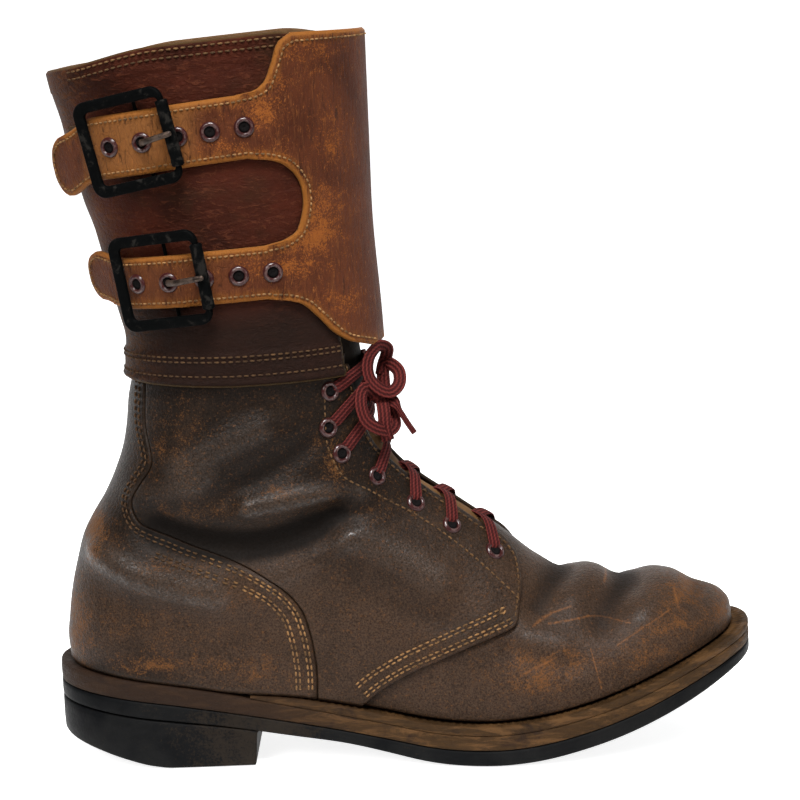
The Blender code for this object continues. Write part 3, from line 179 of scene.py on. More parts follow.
# Shared edge of counter and quarter, z and x; the quarter's front edge on the same row, x and z
SEAM = ((32.0, 112.5, 131.0, 29.0), (43.0, 112.8, 141.0, 37.6), (55.0, 111.6, 157.0, 47.4), (61.0, 110.2, 167.5, 50.8),
        (67.0, 108.2, 178.0, 53.2), (73.5, 103.6, 188.0, 54.6), (79.5, 97.0, 196.8, 56.0), (87.0, 84.0, 199.0, 64.0),
        (91.5, 73.0, 200.0, 71.0), (95.5, 62.5, 199.3, 78.5), (99.5, 54.0, 194.6, 86.6), (102.5, 47.0, 185.0, 93.6),
        (106.5, 41.2, 174.0, 101.6), (112.0, 39.6, 162.0, 110.0), (121.0, 44.0, 148.5, 121.5),
        (132.0, 49.4, 139.0, 134.0), (148.0, 47.0, 133.5, 150.0), (169.0, 48.4, 130.5, 168.0))
SEAM_ROWS = len(SEAM) - 1
SEAT_ROWS = 6.0

# x and z of the lace eyelets in the side view, from the top down
LACE_EYELETS = ((122.7, 158.0), (121.6, 143.0), (126.4, 131.4), (140.2, 119.4), (156.5, 106.2), (171.3, 96.0),
                (189.0, 84.0))

# Lateral edge of the flap: height at the front line, girth from the front line, fall per girth
FLAP_EDGE = ((306.0, 46.0, 0.0), (303.4, 50.9, 0.02), (296.6, 54.1, 0.055), (291.8, 57.0, 0.085), (289.6, 62.0, 0.1),
             (289.0, 68.0, 0.1), (263.3, 64.0, 0.1), (261.6, 57.0, 0.098), (258.4, 50.3, 0.095), (251.0, 44.6, 0.088),
             (239.7, 42.0, 0.07), (229.5, 44.0, 0.055), (225.6, 50.0, 0.05), (224.4, 57.0, 0.05), (201.8, 57.0, 0.04),
             (200.4, 50.0, 0.04), (197.8, 43.8, 0.035), (191.5, 38.0, 0.025), (186.0, 34.0, 0.015), (178.8, 26.5, 0.0),
             (174.6, 14.0, 0.0))

# Straps: heights of top and low edge, girths of first eyelet, roller, prong and left bar, drop of the tip, tilt of the
# buckle in degrees, lightness in the buckle's window
Strap = namedtuple("Strap", "name top low eyelet roller prong bar drop tilt light")
STRAPS = (Strap("upper", 289.0, 263.3, 65.0, 92.0, 103.1, 126.0, 5.0, 4.0, 1.15),
          Strap("lower", 224.4, 201.8, 55.0, 80.0, 93.1, 114.0, -3.2, 3.0, 0.15))

# Lace bow, smooth paths through x, y, z
LACE_KNOT = ((141.8, -15.0, 155.4), (143.8, -15.5, 153.6), (145.8, -15.0, 151.3))
LACE_LOOP_UPPER = ((144.2, -14.0, 152.1), (145.9, -8.0, 153.6), (145.7, -4.0, 161.1), (146.3, -3.0, 164.8),
                   (149.7, -5.0, 164.3), (152.6, -9.0, 161.6), (152.4, -14.0, 157.3), (148.9, -19.0, 154.9),
                   (144.4, -21.0, 156.7), (140.6, -21.0, 160.9), (139.6, -20.0, 166.1), (141.0, -18.0, 170.8),
                   (144.7, -13.0, 173.7), (147.9, -8.0, 171.9), (147.4, -4.0, 168.0), (146.0, -2.0, 164.0),
                   (145.0, -5.0, 160.0))
LACE_LOOP_LOWER = ((143.0, -16.0, 152.9), (139.5, -22.0, 157.5), (137.0, -26.0, 156.6), (136.4, -29.0, 151.6),
                   (138.2, -30.0, 145.4), (142.6, -28.0, 141.5), (147.5, -23.0, 139.5), (150.0, -18.0, 141.0),
                   (148.9, -14.0, 145.5), (146.6, -12.0, 150.3))
LACE_END_LONG = ((146.3, -16.0, 151.9), (150.0, -18.0, 150.4), (152.4, -19.0, 146.6), (155.1, -20.0, 142.0),
                 (158.1, -20.5, 137.3))
LACE_END_SHORT = ((145.0, -18.0, 151.5), (145.7, -24.0, 147.0), (145.9, -25.0, 140.8), (146.9, -24.0, 135.4))

# Row of thread below the eyelets in the side view: x and z
FACING_ROW = ((120.7, 158.8), (120.4, 142.2), (122.1, 131.5), (127.4, 121.1), (141.4, 111.3), (160.1, 99.2),
              (178.5, 84.7), (192.6, 71.1), (198.8, 64.8))

# Folds of the leather in the side view: start, middle and end (x, z each), height, width
FOLDS = (
    (50.0, 103.0, 88.0, 95.0, 126.0, 106.5, -6.2, 8.0),
    (88.0, 112.5, 111.5, 115.0, 132.0, 112.5, 3.4, 5.5),
    (96.0, 80.5, 110.0, 87.0, 126.0, 97.5, 2.0, 7.0),
    (78.0, 118.0, 96.0, 127.0, 114.0, 138.0, -2.6, 6.0),
    (62.0, 130.0, 78.0, 138.0, 94.0, 145.0, 2.4, 7.0),
    (84.0, 153.5, 98.0, 154.0, 112.0, 153.0, -1.4, 7.0),
    (43.0, 116.5, 58.0, 120.0, 73.0, 123.5, 1.8, 6.0),
    (26.0, 92.0, 44.0, 83.0, 72.0, 75.0, 3.4, 7.0),
    (30.0, 74.0, 60.0, 64.0, 92.0, 60.0, -1.0, 8.0),
    (130.0, 98.0, 146.0, 88.0, 164.0, 76.0, 2.4, 8.0),
    (136.0, 72.0, 152.0, 66.0, 168.0, 61.0, -1.6, 8.0),
    (222.5, 74.5, 215.0, 70.0, 207.0, 63.0, -2.6, 6.0),
    (234.0, 72.5, 228.0, 70.5, 221.0, 66.0, 2.2, 6.5),
    (249.0, 69.5, 241.0, 65.0, 233.0, 55.0, -2.6, 6.5),
    (266.0, 68.0, 260.0, 66.0, 252.0, 60.0, 2.0, 8.0),
    (280.0, 65.0, 275.0, 62.0, 271.0, 58.0, -0.9, 5.0),
    (214.0, 78.0, 240.0, 71.0, 284.0, 64.0, -1.3, 10.0),
    (202.0, 50.5, 208.0, 49.0, 214.0, 47.0, 1.6, 6.0),
    (196.0, 46.0, 206.0, 42.0, 222.0, 40.0, -1.0, 5.0),
)

# Rubbed places of the foot in the side view: x, z, half length, half height, strength
RUBS = (
    (272.0, 62.5, 14.0, 6.0, 1.0), (286.0, 54.0, 8.0, 10.0, 0.8), (212.0, 40.0, 34.0, 8.0, 0.65),
    (222.0, 42.0, 26.0, 6.0, 0.5), (203.0, 34.0, 22.0, 5.0, 0.6), (250.0, 42.0, 26.0, 8.0, 0.6),
    (265.0, 53.0, 16.0, 9.0, 0.7), (46.0, 46.0, 24.0, 5.0, 0.7), (76.0, 44.5, 24.0, 4.5, 0.55),
    (83.0, 73.0, 14.0, 5.0, 0.6), (13.0, 60.0, 7.0, 26.0, 0.8), (88.0, 40.0, 18.0, 4.0, 0.45),
    (40.0, 62.0, 22.0, 10.0, 0.4),
    (22.0, 100.0, 8.0, 14.0, 0.9), (123.0, 128.0, 8.0, 22.0, 0.5), (150.0, 104.0, 24.0, 5.0, 0.45),
    (52.0, 88.0, 24.0, 4.0, 0.55), (70.0, 112.0, 22.0, 5.0, 0.5), (100.0, 118.0, 14.0, 4.0, 0.5),
    (60.0, 140.0, 18.0, 14.0, 0.4),
)

# Scratches of the vamp in the side view: start and end (x, z each), half width
SCRATCHES = ((204.6, 55.7, 212.4, 59.3, 0.5), (212.4, 59.3, 221.0, 61.6, 0.35), (211.0, 55.8, 228.0, 57.3, 0.4),
             (228.0, 57.3, 245.5, 54.4, 0.3), (239.3, 46.6, 251.2, 53.0, 0.35), (251.2, 53.0, 262.6, 57.7, 0.3),
             (236.5, 67.8, 238.6, 70.2, 0.6), (227.9, 45.8, 231.5, 30.3, 0.3), (265.9, 64.0, 266.6, 57.9, 0.5),
             (198.2, 36.9, 213.5, 43.1, 0.5))

# Rubbed places of the flap: x, z, half length, half height, strength
FLAP_RUBS = (
    (124.0, 232.0, 9.0, 16.0, 0.8), (118.0, 221.0, 9.0, 9.0, 1.0), (112.0, 213.0, 16.0, 6.0, 0.8),
    (130.0, 196.0, 9.0, 8.0, 0.6), (106.0, 286.0, 9.0, 7.0, 0.8), (128.0, 262.0, 8.0, 18.0, 0.55),
    (122.0, 298.0, 14.0, 8.0, 0.6), (84.0, 262.0, 18.0, 4.0, 0.6), (90.0, 198.0, 20.0, 3.0, 0.6),
    (100.0, 276.0, 10.0, 14.0, 0.6), (104.0, 255.0, 10.0, 8.0, 0.8), (96.0, 214.0, 10.0, 8.0, 0.5),
)


CURVES = {}
CURVE_STEPS = 3000


def cubic(table, column):
    """Monotone cubic curve through the first and the named column of a table, at many even places."""
    xs, ys = np.array([(r[0], r[column]) for r in table], float).T
    h = np.diff(xs)
    d = np.diff(ys) / h
    m = np.zeros(len(xs))
    turn = d[:-1] * d[1:] > 0
    wa = 2 * h[1:] + h[:-1]
    wb = h[1:] + 2 * h[:-1]
    da = np.where(turn, d[:-1], 1.0)
    db = np.where(turn, d[1:], 1.0)
    m[1:-1] = np.where(turn, (wa + wb) / (wa / da + wb / db), 0.0)
    m[0] = d[0]
    m[-1] = d[-1]
    x = np.union1d(np.linspace(xs[0], xs[-1], CURVE_STEPS), xs)
    i = np.clip(np.searchsorted(xs, x, side="right") - 1, 0, len(xs) - 2)
    s = (x - xs[i]) / h[i]
    near = (1 + 2 * s) * (1 - s) ** 2 * ys[i] + s * (1 - s) ** 2 * h[i] * m[i]
    far = s * s * (3 - 2 * s) * ys[i + 1] + s * s * (s - 1) * h[i] * m[i + 1]
    return x, near + far


def smooth(table, column, x):
    """Smooth curve of a table's column at x; each curve is worked out once."""
    key = (tuple(table), column)
    if key not in CURVES:
        CURVES[key] = cubic(table, column)
    return np.interp(x, *CURVES[key])


def cap(d, power):
    """Rounded end, a quarter of a superellipse: 0 at the tip, 1 from one cap length on."""
    d = np.clip(d, 0.0, 1.0)
    return np.clip(1.0 - (1.0 - d) ** power, 0.0, 1.0) ** (1.0 / power)


def ramp(x, a, b):
    """Soft step, the cubic 3s^2 - 2s^3 of the share between a and b."""
    s = np.clip((np.asarray(x, float) - a) / (b - a), 0.0, 1.0)
    return s * s * (3 - 2 * s)


def centre(x):
    """Swing of the middle line toward the inner side at the toe, a soft step along x."""
    return CENTRE_TOE * ramp(x, CENTRE_FROM, CENTRE_TO)


def edge_loop(angle, inset_heel, inset_toe):
    """Sole outline by angle: x goes as the cosine, y is the plan's half width times the rounded ends."""
    angle = np.asarray(angle, float)
    along = 0.5 - 0.5 * np.cos(angle)
    x = inset_heel + (SOLE_LENGTH - inset_toe - inset_heel) * along
    inset = inset_heel + (inset_toe - inset_heel) * along
    ends = cap((x - inset_heel) / HEEL_CAP, CAP_POWER) * cap((SOLE_LENGTH - inset_toe - x) / TOE_CAP, CAP_POWER)
    lateral = smooth(PLAN, 1, x) - inset
    medial = smooth(PLAN, 2, x) - inset
    y = centre(x) + np.where(np.sin(angle) >= 0, -lateral, medial) * ends
    return x, y


STACK_SOFT = np.array((-12.0, -6.0, 0.0, 6.0, 12.0))
STACK_X = np.linspace(0.0, SOLE_LENGTH, 601)


def stack(column, x):
    """Column of the stack table at x, the mean of five places near it, so that the layers bend softly."""
    if column not in CURVES:
        CURVES[column] = STACK_X, smooth(STACK, column, STACK_X[:, None] + STACK_SOFT).mean(axis=1)
    return np.interp(x, *CURVES[column])


def midsole_top(x):
    """Top of the midsole: the outsole's top plus the midsole's thickness."""
    return stack(HIGH_COLUMN, x) + stack(MIDSOLE_COLUMN, x)


def seat(x):
    """Height where the upper meets the welt: the midsole's top plus the welt's thickness."""
    return midsole_top(x) + stack(WELT_COLUMN, x)


def feather_inset(x):
    """Distance from the sole's edge in to the upper, a soft step from heel to forepart."""
    return FEATHER_HEEL + (FEATHER_FORE - FEATHER_HEEL) * ramp(x, WELT_START, FEATHER_FORE_X)


HEEL_X = float(smooth(BACK, 1, SECTIONS[HEEL_ROW][2]))
FRONT_ROWS = [(i,) + r for i, r in enumerate(SECTIONS)]
SOLE_ROWS = [(i, r[2]) for i, r in enumerate(SECTIONS[:HEEL_ROW])] + [(HEEL_ROW, HEEL_X)]
BACK_ROWS = [(i + HEEL_ROW, r[2]) for i, r in enumerate(SECTIONS[HEEL_ROW:])]


def section_ends(t):
    """Front and base ends of the section at row t, and the roundness of its front, smooth along the table."""
    t = np.asarray(t, float)
    sole_x = smooth(SOLE_ROWS, 1, np.minimum(t, HEEL_ROW))
    back_z = smooth(BACK_ROWS, 1, np.maximum(t, HEEL_ROW))
    on_sole = t <= HEEL_ROW
    base_x = np.where(on_sole, sole_x, smooth(BACK, 1, back_z))
    base_z = np.where(on_sole, seat(sole_x) + SEAT_GAP, back_z)
    return smooth(FRONT_ROWS, 1, t), smooth(FRONT_ROWS, 2, t), base_x, base_z, smooth(FRONT_ROWS, 4, t)


def half_width(x, z, reach, length, power, side):
    """Half width of the last at x, z: plan width below, leg width above, both times rounded front and back ends."""
    toe = cap((FEATHER_TOE - x) / TOE_CAP, CAP_POWER)
    foot = (smooth(PLAN, 1 if side < 0 else 2, x) - feather_inset(x)) * toe
    g = ramp(z, seat(x), seat(x) + LEG_BLEND)
    w = foot * (1 - g) + smooth(LEG, 1, z) * g
    front = cap(reach / np.minimum(FRONT_CAP, np.maximum(length, TINY)), power)
    back = cap((x - smooth(BACK, 1, z)) / smooth(LEG, 2, z), CAP_POWER)
    return w * front * back


DENSE = 240


def with_girth(points):
    """Points with their running length along each row."""
    step = np.linalg.norm(np.diff(points, axis=1), axis=-1)
    run = np.concatenate([np.zeros((len(points), 1)), np.cumsum(step, axis=1)], axis=1)
    return points, run


def section(t, side):
    """Dense curve of each section from the front line to its base: straight in side view, bulged by the half width."""
    t = np.atleast_1d(np.asarray(t, float))
    fx, fz, bx, bz, power = [v[:, None] for v in section_ends(t)]
    q = 0.5 - 0.5 * np.cos(np.linspace(0.0, math.pi, DENSE))[None, :]
    x = fx + (bx - fx) * q
    z = fz + (bz - fz) * q
    length = np.hypot(fx - bx, fz - bz)
    y = centre(x) + side * half_width(x, z, q * length, length, power, side)
    return with_girth(np.stack([x, y, z], axis=-1))


def pick(points, run, s):
    """Points at girth s on each dense curve, straight between its points."""
    i = np.stack([np.clip(np.searchsorted(r, q, side="right") - 1, 0, len(r) - 2) for r, q in zip(run, s)])
    low = np.take_along_axis(run, i, axis=1)
    high = np.take_along_axis(run, i + 1, axis=1)
    a = np.clip((s - low) / np.maximum(high - low, NO_LENGTH), 0.0, 1.0)[..., None]
    return (np.take_along_axis(points, i[..., None], axis=1) * (1 - a)
            + np.take_along_axis(points, i[..., None] + 1, axis=1) * a)


SEARCH_STEPS = 20


def locate(x, z):
    """Section row through a side-view place, found by halving, with the distance from its front end."""
    lo = np.zeros(x.shape)
    hi = np.full(x.shape, float(LAST_ROW))
    for _ in range(SEARCH_STEPS):
        mid = 0.5 * (lo + hi)
        fx, fz, bx, bz, _power = section_ends(mid)
        ahead = (fx - bx) * (z - bz) - (fz - bz) * (x - bx) < 0
        hi = np.where(ahead, mid, hi)
        lo = np.where(ahead, lo, mid)
    fx, fz, bx, bz, power = section_ends(lo)
    length = np.hypot(fx - bx, fz - bz)
    reach = ((fx - x) * (fx - bx) + (fz - z) * (fz - bz)) / np.maximum(length, TINY)
    return np.clip(reach, 0.0, length), length, power, lo


def width_at(x, z, side):
    """Half width of the last at a side-view place."""
    reach, length, power, _row = locate(x, z)
    return half_width(x, z, reach, length, power, side)


SLOPE_STEP = 0.05


def on_side(x, z, side):
    """Points of the last at side-view places and their normals, from the slopes of the half width."""
    h = width_at(x, z, side)
    hx = (width_at(x + SLOPE_STEP, z, side) - width_at(x - SLOPE_STEP, z, side)) / (2 * SLOPE_STEP)
    hz = (width_at(x, z + SLOPE_STEP, side) - width_at(x, z - SLOPE_STEP, side)) / (2 * SLOPE_STEP)
    normal = np.stack([-hx, np.full(hx.shape, float(side)), -hz], axis=-1)
    normal = normal / np.linalg.norm(normal, axis=-1, keepdims=True)
    return np.stack([x, centre(x) + side * h, z], axis=-1), normal


FOLD_STEPS = 9


def bent_line(row, count):
    """Points on the parabola through the start, middle and end of a row of six numbers."""
    a = np.linspace(0.0, 1.0, count)[:, None]
    p0, p1, p2 = np.reshape(row, (3, 2))
    return p0 * (1 - a) * (1 - 2 * a) + 4 * p1 * a * (1 - a) + p2 * a * (2 * a - 1)


def line_distance(x, z, line):
    """Shortest distance from places to a line, the least over its straight pieces."""
    best = np.full(x.shape, FAR)
    for (ax, az), (bx, bz) in zip(line[:-1], line[1:]):
        dx, dz = bx - ax, bz - az
        a = np.clip(((x - ax) * dx + (z - az) * dz) / (dx * dx + dz * dz), 0.0, 1.0)
        best = np.minimum(best, np.hypot(x - ax - a * dx, z - az - a * dz))
    return best


def fold(x, z, side):
    """Height of the folds: each a bell across its bent line, summed, with a slow unevenness of crossed sines."""
    total = 0.18 * np.sin(x / 9.0 + 0.7 * np.sin(z / 13.0)) * np.sin(z / 8.0 + 0.9 * np.sin(x / 17.0 + side))
    for *line, height, width in FOLDS:
        total = total + height * np.exp(-(line_distance(x, z, bent_line(line, FOLD_STEPS)) / width) ** 2)
    return total * bpy.context.scene.boot_sizes.fold_depth


def rubbed(x, z, table):
    """Rubbed places: the strongest of the table's soft ellipses."""
    total = np.zeros(x.shape)
    for cx, cz, half_x, half_z, strength in table:
        total = np.maximum(total, strength * np.exp(-(((x - cx) / half_x) ** 2 + ((z - cz) / half_z) ** 2)))
    return total


def skin(x, z, side, off):
    """Points of the folded leather at side-view places, moved out by off, with their normals."""
    points, normal = on_side(x, z, side)
    lift = off + fold(x, z, side)
    return points + np.asarray(lift)[..., None] * normal, normal


FALL_ROUNDS = 2
FRONT_BY_HEIGHT = sorted((r[1], r[0]) for r in SECTIONS)


def ring(v, fall, side):
    """Dense curves round the leg from the front line to the back, at height v less the fall along the girth."""
    v = np.atleast_1d(np.asarray(v, float))[:, None]
    fall = np.broadcast_to(np.asarray(fall, float), (len(v),))[:, None]
    u = 0.5 - 0.5 * np.cos(np.linspace(0.0, math.pi, DENSE // 2))[None, :]
    z = v + 0.0 * u
    for _ in range(FALL_ROUNDS):
        front, back = smooth(FRONT_BY_HEIGHT, 1, z), smooth(BACK, 1, z)
        x = front + (back - front) * u
        y = side * width_at(x, z, side)
        points, run = with_girth(np.stack([x, y, z], axis=-1))
        z = v - fall * run
    return points, run


GIRTH_STEP = 0.4
LEVEL_STEP = 1.0
ROW_STEP = 0.04
FIRST_ROW = 0.02


def unit(v):
    """Vectors brought to length one."""
    return v / np.maximum(np.linalg.norm(v, axis=-1, keepdims=True), NO_LENGTH)


def wrapped(curve, before, after, s, side):
    """Points at girth s of each curve; normals square to the run along it and the run across to its two neighbours."""
    points, run = curve
    full = run[:, -1:]
    part = np.clip(s / np.maximum(full, TINY), 0.0, 1.0)
    under, over = [pick(p, r, part * r[:, -1:]) for p, r in (before, after)]
    ahead, behind = [pick(points, run, np.clip(s + step, 0.0, full)) for step in (GIRTH_STEP, -GIRTH_STEP)]
    return pick(points, run, s), unit(np.cross(ahead - behind, over - under)) * side


def leg_wrap(v, fall, s, side):
    """Points of the leg at height v and girth s, with their normals."""
    return wrapped(*[ring(v + step, fall, side) for step in (0.0, -LEVEL_STEP, LEVEL_STEP)], s, side)


def foot_wrap(t, s, side):
    """Points of the upper at section row t and girth s, with their normals."""
    rows = t, np.maximum(t - ROW_STEP, FIRST_ROW), np.minimum(t + ROW_STEP, LAST_ROW)
    return wrapped(*[section(row, side) for row in rows], s, side)


# Corner order of a quad that is turned over
BACKWARD = (0, 3, 2, 1)


def grid_quads(rows, columns, keep=None, tube=False, loop=False):
    """Corner numbers of a grid's quads, row by row; tube joins the last row to the first, loop the last column.

    keep is a mask of the quads that stay.
    """
    i, j = np.meshgrid(np.arange(rows - (not tube)), np.arange(columns - (not loop)), indexing="ij")
    over, on = (i + 1) % rows * columns, (j + 1) % columns
    quads = np.stack([i * columns + j, i * columns + on, over + on, over + j], axis=-1)
    return quads[keep] if keep is not None else quads.reshape(-1, 4)


def rungs(count):
    """Quads that close a loop of points, drawn across between the k-th from its start and from its end."""
    k = np.arange(count // 2 - 1)
    return np.stack([k, k + 1, count - 2 - k, count - 1 - k], axis=1)


def add_piece(name, verts, faces, finish, nodes=(), **values):
    """Object from millimetre points and faces with equally many sides, with a finish and point attributes."""
    verts = np.asarray(verts, float)
    faces = np.asarray(faces, np.int32)
    if not len(faces) or not np.isfinite(verts).all():
        raise RuntimeError("%s could not be made" % name)
    mesh = bpy.data.meshes.new(name)
    mesh.vertices.add(len(verts))
    mesh.vertices.foreach_set("co", ((verts - FRAME_ORIGIN) * MM).astype(np.float32).ravel())
    count, sides = faces.shape
    mesh.loops.add(count * sides)
    mesh.loops.foreach_set("vertex_index", faces.ravel())
    mesh.polygons.add(count)
    mesh.polygons.foreach_set("loop_start", np.arange(0, count * sides, sides, dtype=np.int32))
    mesh.polygons.foreach_set("loop_total", np.full(count, sides, np.int32))
    mesh.polygons.foreach_set("use_smooth", np.ones(count, bool))
    mesh.update(calc_edges=True)
    for key, value in values.items():
        attribute = mesh.attributes.new(key, "FLOAT", "POINT")
        attribute.data.foreach_set("value", np.asarray(value, np.float32).ravel())
    mesh.validate()
    mesh.materials.append(material_of(finish))
    obj = bpy.data.objects.new(name, mesh)
    bpy.context.scene.collection.objects.link(obj)
    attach(obj, "root")
    if nodes:
        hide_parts(*nodes)
    return obj


WELD_STEPS = 2000.0
DISTANCE_BLOCK = 2000
EDGE_BOW = 0.55


def weld(points, quads, *extras):
    """Points that coincide, to a 2000th of a millimetre, made one, with their numbers in the faces changed to match."""
    keys = np.round(points * WELD_STEPS).astype(np.int64)
    _unique, first, inverse = np.unique(keys, axis=0, return_index=True, return_inverse=True)
    quads = inverse.reshape(-1)[quads]
    used, renumbered = np.unique(quads, return_inverse=True)
    quads = renumbered.reshape(quads.shape)
    return [points[first][used], quads] + [e[first][used] for e in extras]


def rim_edges(quads):
    """Edges with one face, in the direction that face runs."""
    edges = np.concatenate([np.stack([quads[:, k], quads[:, (k + 1) % 4]], axis=1) for k in range(4)])
    code = np.sort(edges, axis=1)
    _u, inverse, count = np.unique(code, axis=0, return_inverse=True, return_counts=True)
    return edges[count[inverse.reshape(-1)] == 1]


def edge_distance(points, rim):
    """Distance of every point from the nearest point of the rim, in blocks."""
    best = np.empty(len(points))
    for start in range(0, len(points), DISTANCE_BLOCK):
        block = points[start:start + DISTANCE_BLOCK]
        best[start:start + DISTANCE_BLOCK] = np.sqrt(((block[:, None, :] - rim[None, :, :]) ** 2).sum(-1).min(axis=1))
    return best


def add_hide(name, points, normals, quads, low, high, edge_round, finish, nodes, relief=None, hem=None, **values):
    """Piece of leather: outer face at high, inner face at low, the outer face bowed down round all its edges.

    The bow is a quarter ellipse over edge_round: high - EDGE_BOW * thickness * (1 - sqrt(1 - (1 - d/r)^2)). A relief
    lifts the outer face, a hem thickens the hide inwards.
    """
    points = points.reshape(-1, 3)
    normals = normals.reshape(-1, 3)
    names = list(values)
    lift = np.zeros(len(points)) if relief is None else np.asarray(relief, float).ravel()
    sink = np.zeros(len(points)) if hem is None else np.asarray(hem, float).ravel()
    extras = [normals, lift, sink] + [np.asarray(values[k], float).ravel() for k in names]
    points, quads, normals, lift, sink, *extras = weld(points, quads, *extras)
    face = np.cross(points[quads[:, 2]] - points[quads[:, 0]], points[quads[:, 3]] - points[quads[:, 1]])
    if (face * normals[quads[:, 0]]).sum() < 0:
        quads = quads[:, ::-1]
    rim = rim_edges(quads)
    d = edge_distance(points, points[np.unique(rim)])
    near = np.clip(1.0 - d / edge_round, 0.0, 1.0)
    top = high + lift - EDGE_BOW * (high - low) * (1.0 - np.sqrt(1.0 - near ** 2))
    count = len(points)
    verts = np.concatenate([points + top[:, None] * normals, points + (low - sink)[:, None] * normals])
    sides = np.stack([rim[:, 1], rim[:, 0], rim[:, 0] + count, rim[:, 1] + count], axis=1)
    faces = np.concatenate([quads, quads[:, ::-1] + count, sides])
    data = {k: np.concatenate([e, e]) for k, e in zip(names, extras)}
    inside = np.concatenate([np.zeros(count), np.ones(count)])
    return add_piece(name, verts, faces, finish, nodes, edge=np.concatenate([d, 0.0 * d]), inside=inside, **data)


def basis(normals):
    """Two directions across each normal, square to it and to each other."""
    helper = np.where(np.abs(normals[:, 2:3]) < 0.9, [[0.0, 0.0, 1.0]], [[1.0, 0.0, 0.0]])
    first = unit(np.cross(helper, normals))
    return first, np.cross(normals, first)


def turned(places, normals, profile, steps):
    """Bodies of revolution: a profile of radius and height carried round each normal."""
    places, normals = np.asarray(places, float), unit(np.asarray(normals, float))
    first, second = basis(normals)
    radius, height = np.array(profile, float).T
    angle = np.linspace(0.0, 2 * math.pi, steps, endpoint=False)
    spoke = first[:, None] * np.cos(angle)[None, :, None] + second[:, None] * np.sin(angle)[None, :, None]
    verts = (places[:, None, None] + spoke[:, None] * radius[None, :, None, None]
             + normals[:, None, None] * height[None, :, None, None])
    quads = grid_quads(len(profile), steps, tube=True, loop=True)[:, BACKWARD]
    faces = quads[None] + (np.arange(len(places)) * len(profile) * steps)[:, None, None]
    return verts.reshape(-1, 3), faces.reshape(-1, 4)


def through(table, steps):
    """Smooth path through a table's points, a cubic between each two with the mean of its neighbours' slopes."""
    pts = np.array(table, float)
    pts = np.concatenate([[2 * pts[0] - pts[1]], pts, [2 * pts[-1] - pts[-2]]])
    a = (np.arange(steps) / steps)[None, :, None]
    p0, p1, p2, p3 = [pts[k:len(pts) - 3 + k, None] for k in range(4)]
    path = 0.5 * (2 * p1 + (p2 - p0) * a + (2 * p0 - 5 * p1 + 4 * p2 - p3) * a ** 2
                  + (3 * p1 - p0 - 3 * p2 + p3) * a ** 3)
    return np.concatenate([path.reshape(-1, 3), pts[-2:-1]])


def run_along(path):
    """Running length at each point of a path."""
    return np.concatenate([[0.0], np.cumsum(np.linalg.norm(np.diff(path, axis=0), axis=1))])


def even(path, count, *others):
    """Path laid out again at equal steps, with what goes along it."""
    run = run_along(path)
    at = np.linspace(0.0, run[-1], count)
    return [np.stack([np.interp(at, run, p[:, k]) for k in range(p.shape[1])], axis=1) for p in (path,) + others]


def superellipse(count, power):
    """Closed outline by angle, with the signed cosine and sine raised to 2 / power."""
    angle = np.linspace(0.0, 2 * math.pi, count, endpoint=False)
    return [np.sign(f(angle)) * np.abs(f(angle)) ** (2 / power) for f in (np.cos, np.sin)]


def ribbon(path, normals, width, thick, around=12, power=2.6):
    """Flat band along a path: a superellipse section, wide across the normal, with closed ends."""
    tangent = unit(np.gradient(path, axis=0))
    side = unit(np.cross(normals, tangent))
    out = np.cross(tangent, side)
    across, up = superellipse(around, power)
    count = len(path)
    width, thick = [np.broadcast_to(np.asarray(size, float), (count,))[:, None, None] for size in (width, thick)]
    verts = (path[:, None] + side[:, None] * across[None, :, None] * width * 0.5
             + out[:, None] * up[None, :, None] * thick * 0.5)
    end = rungs(around)
    faces = np.concatenate([grid_quads(count, around, loop=True), end[:, ::-1], end + (count - 1) * around])
    u = np.broadcast_to((across * 0.5 + 0.5)[None], (count, around))
    v = np.broadcast_to(run_along(path)[:, None], (count, around))
    return verts.reshape(-1, 3), faces, u.ravel(), v.ravel()


def joined(parts):
    """Several (points, faces, values...) put into one, with the faces' numbers moved on."""
    verts, faces, extras, first = [], [], [], 0
    for part in parts:
        verts.append(part[0])
        faces.append(part[1] + first)
        extras.append(part[2:])
        first += len(part[0])
    return [np.concatenate(verts), np.concatenate(faces)] + [np.concatenate(e) for e in zip(*extras)]


EDGE_ROW = 2.5
STITCH_ALONG = 6
STITCH_AROUND = 6
STITCH_END = np.array([[0, 5, 4, 1], [1, 4, 3, 2]])


def stitch_row(path, normals, pitch, radius):
    """Row of stitches: capsules laid along a path at even pitch, each bowed out of the leather between its holes."""
    count = max(int(np.linalg.norm(np.diff(path, axis=0), axis=1).sum() / pitch), 1)
    spots, n = even(path, 2 * count + 1, normals)
    heading = unit(np.gradient(spots, axis=0))[1::2]
    spots, n = spots[1::2], unit(n[1::2])
    side = unit(np.cross(n, heading))
    u = np.linspace(-1.0, 1.0, STITCH_ALONG)
    thick = radius * np.sqrt(np.clip(1.02 - u ** 4, 0.0, 1.0))
    bow = radius * (0.75 - 1.15 * u ** 2)
    angle = np.linspace(0.0, 2 * math.pi, STITCH_AROUND, endpoint=False)
    body = (spots[:, None, None] + heading[:, None, None] * (u * 0.4 * pitch)[None, :, None, None]
            + n[:, None, None] * (bow[:, None] + thick[:, None] * np.sin(angle))[None, :, :, None]
            + side[:, None, None] * (thick[:, None] * np.cos(angle))[None, :, :, None])
    quads = np.concatenate([grid_quads(STITCH_ALONG, STITCH_AROUND, loop=True), STITCH_END,
                            STITCH_END[:, ::-1] + (STITCH_ALONG - 1) * STITCH_AROUND])
    faces = quads[None] + (np.arange(count) * STITCH_ALONG * STITCH_AROUND)[:, None, None]
    return body.reshape(-1, 3), faces.reshape(-1, 4)


def feed(tree, socket, value):
    """Socket given a value, or the output that feeds it."""
    if isinstance(value, bpy.types.NodeSocket):
        tree.links.new(value, socket)
    else:
        socket.default_value = value


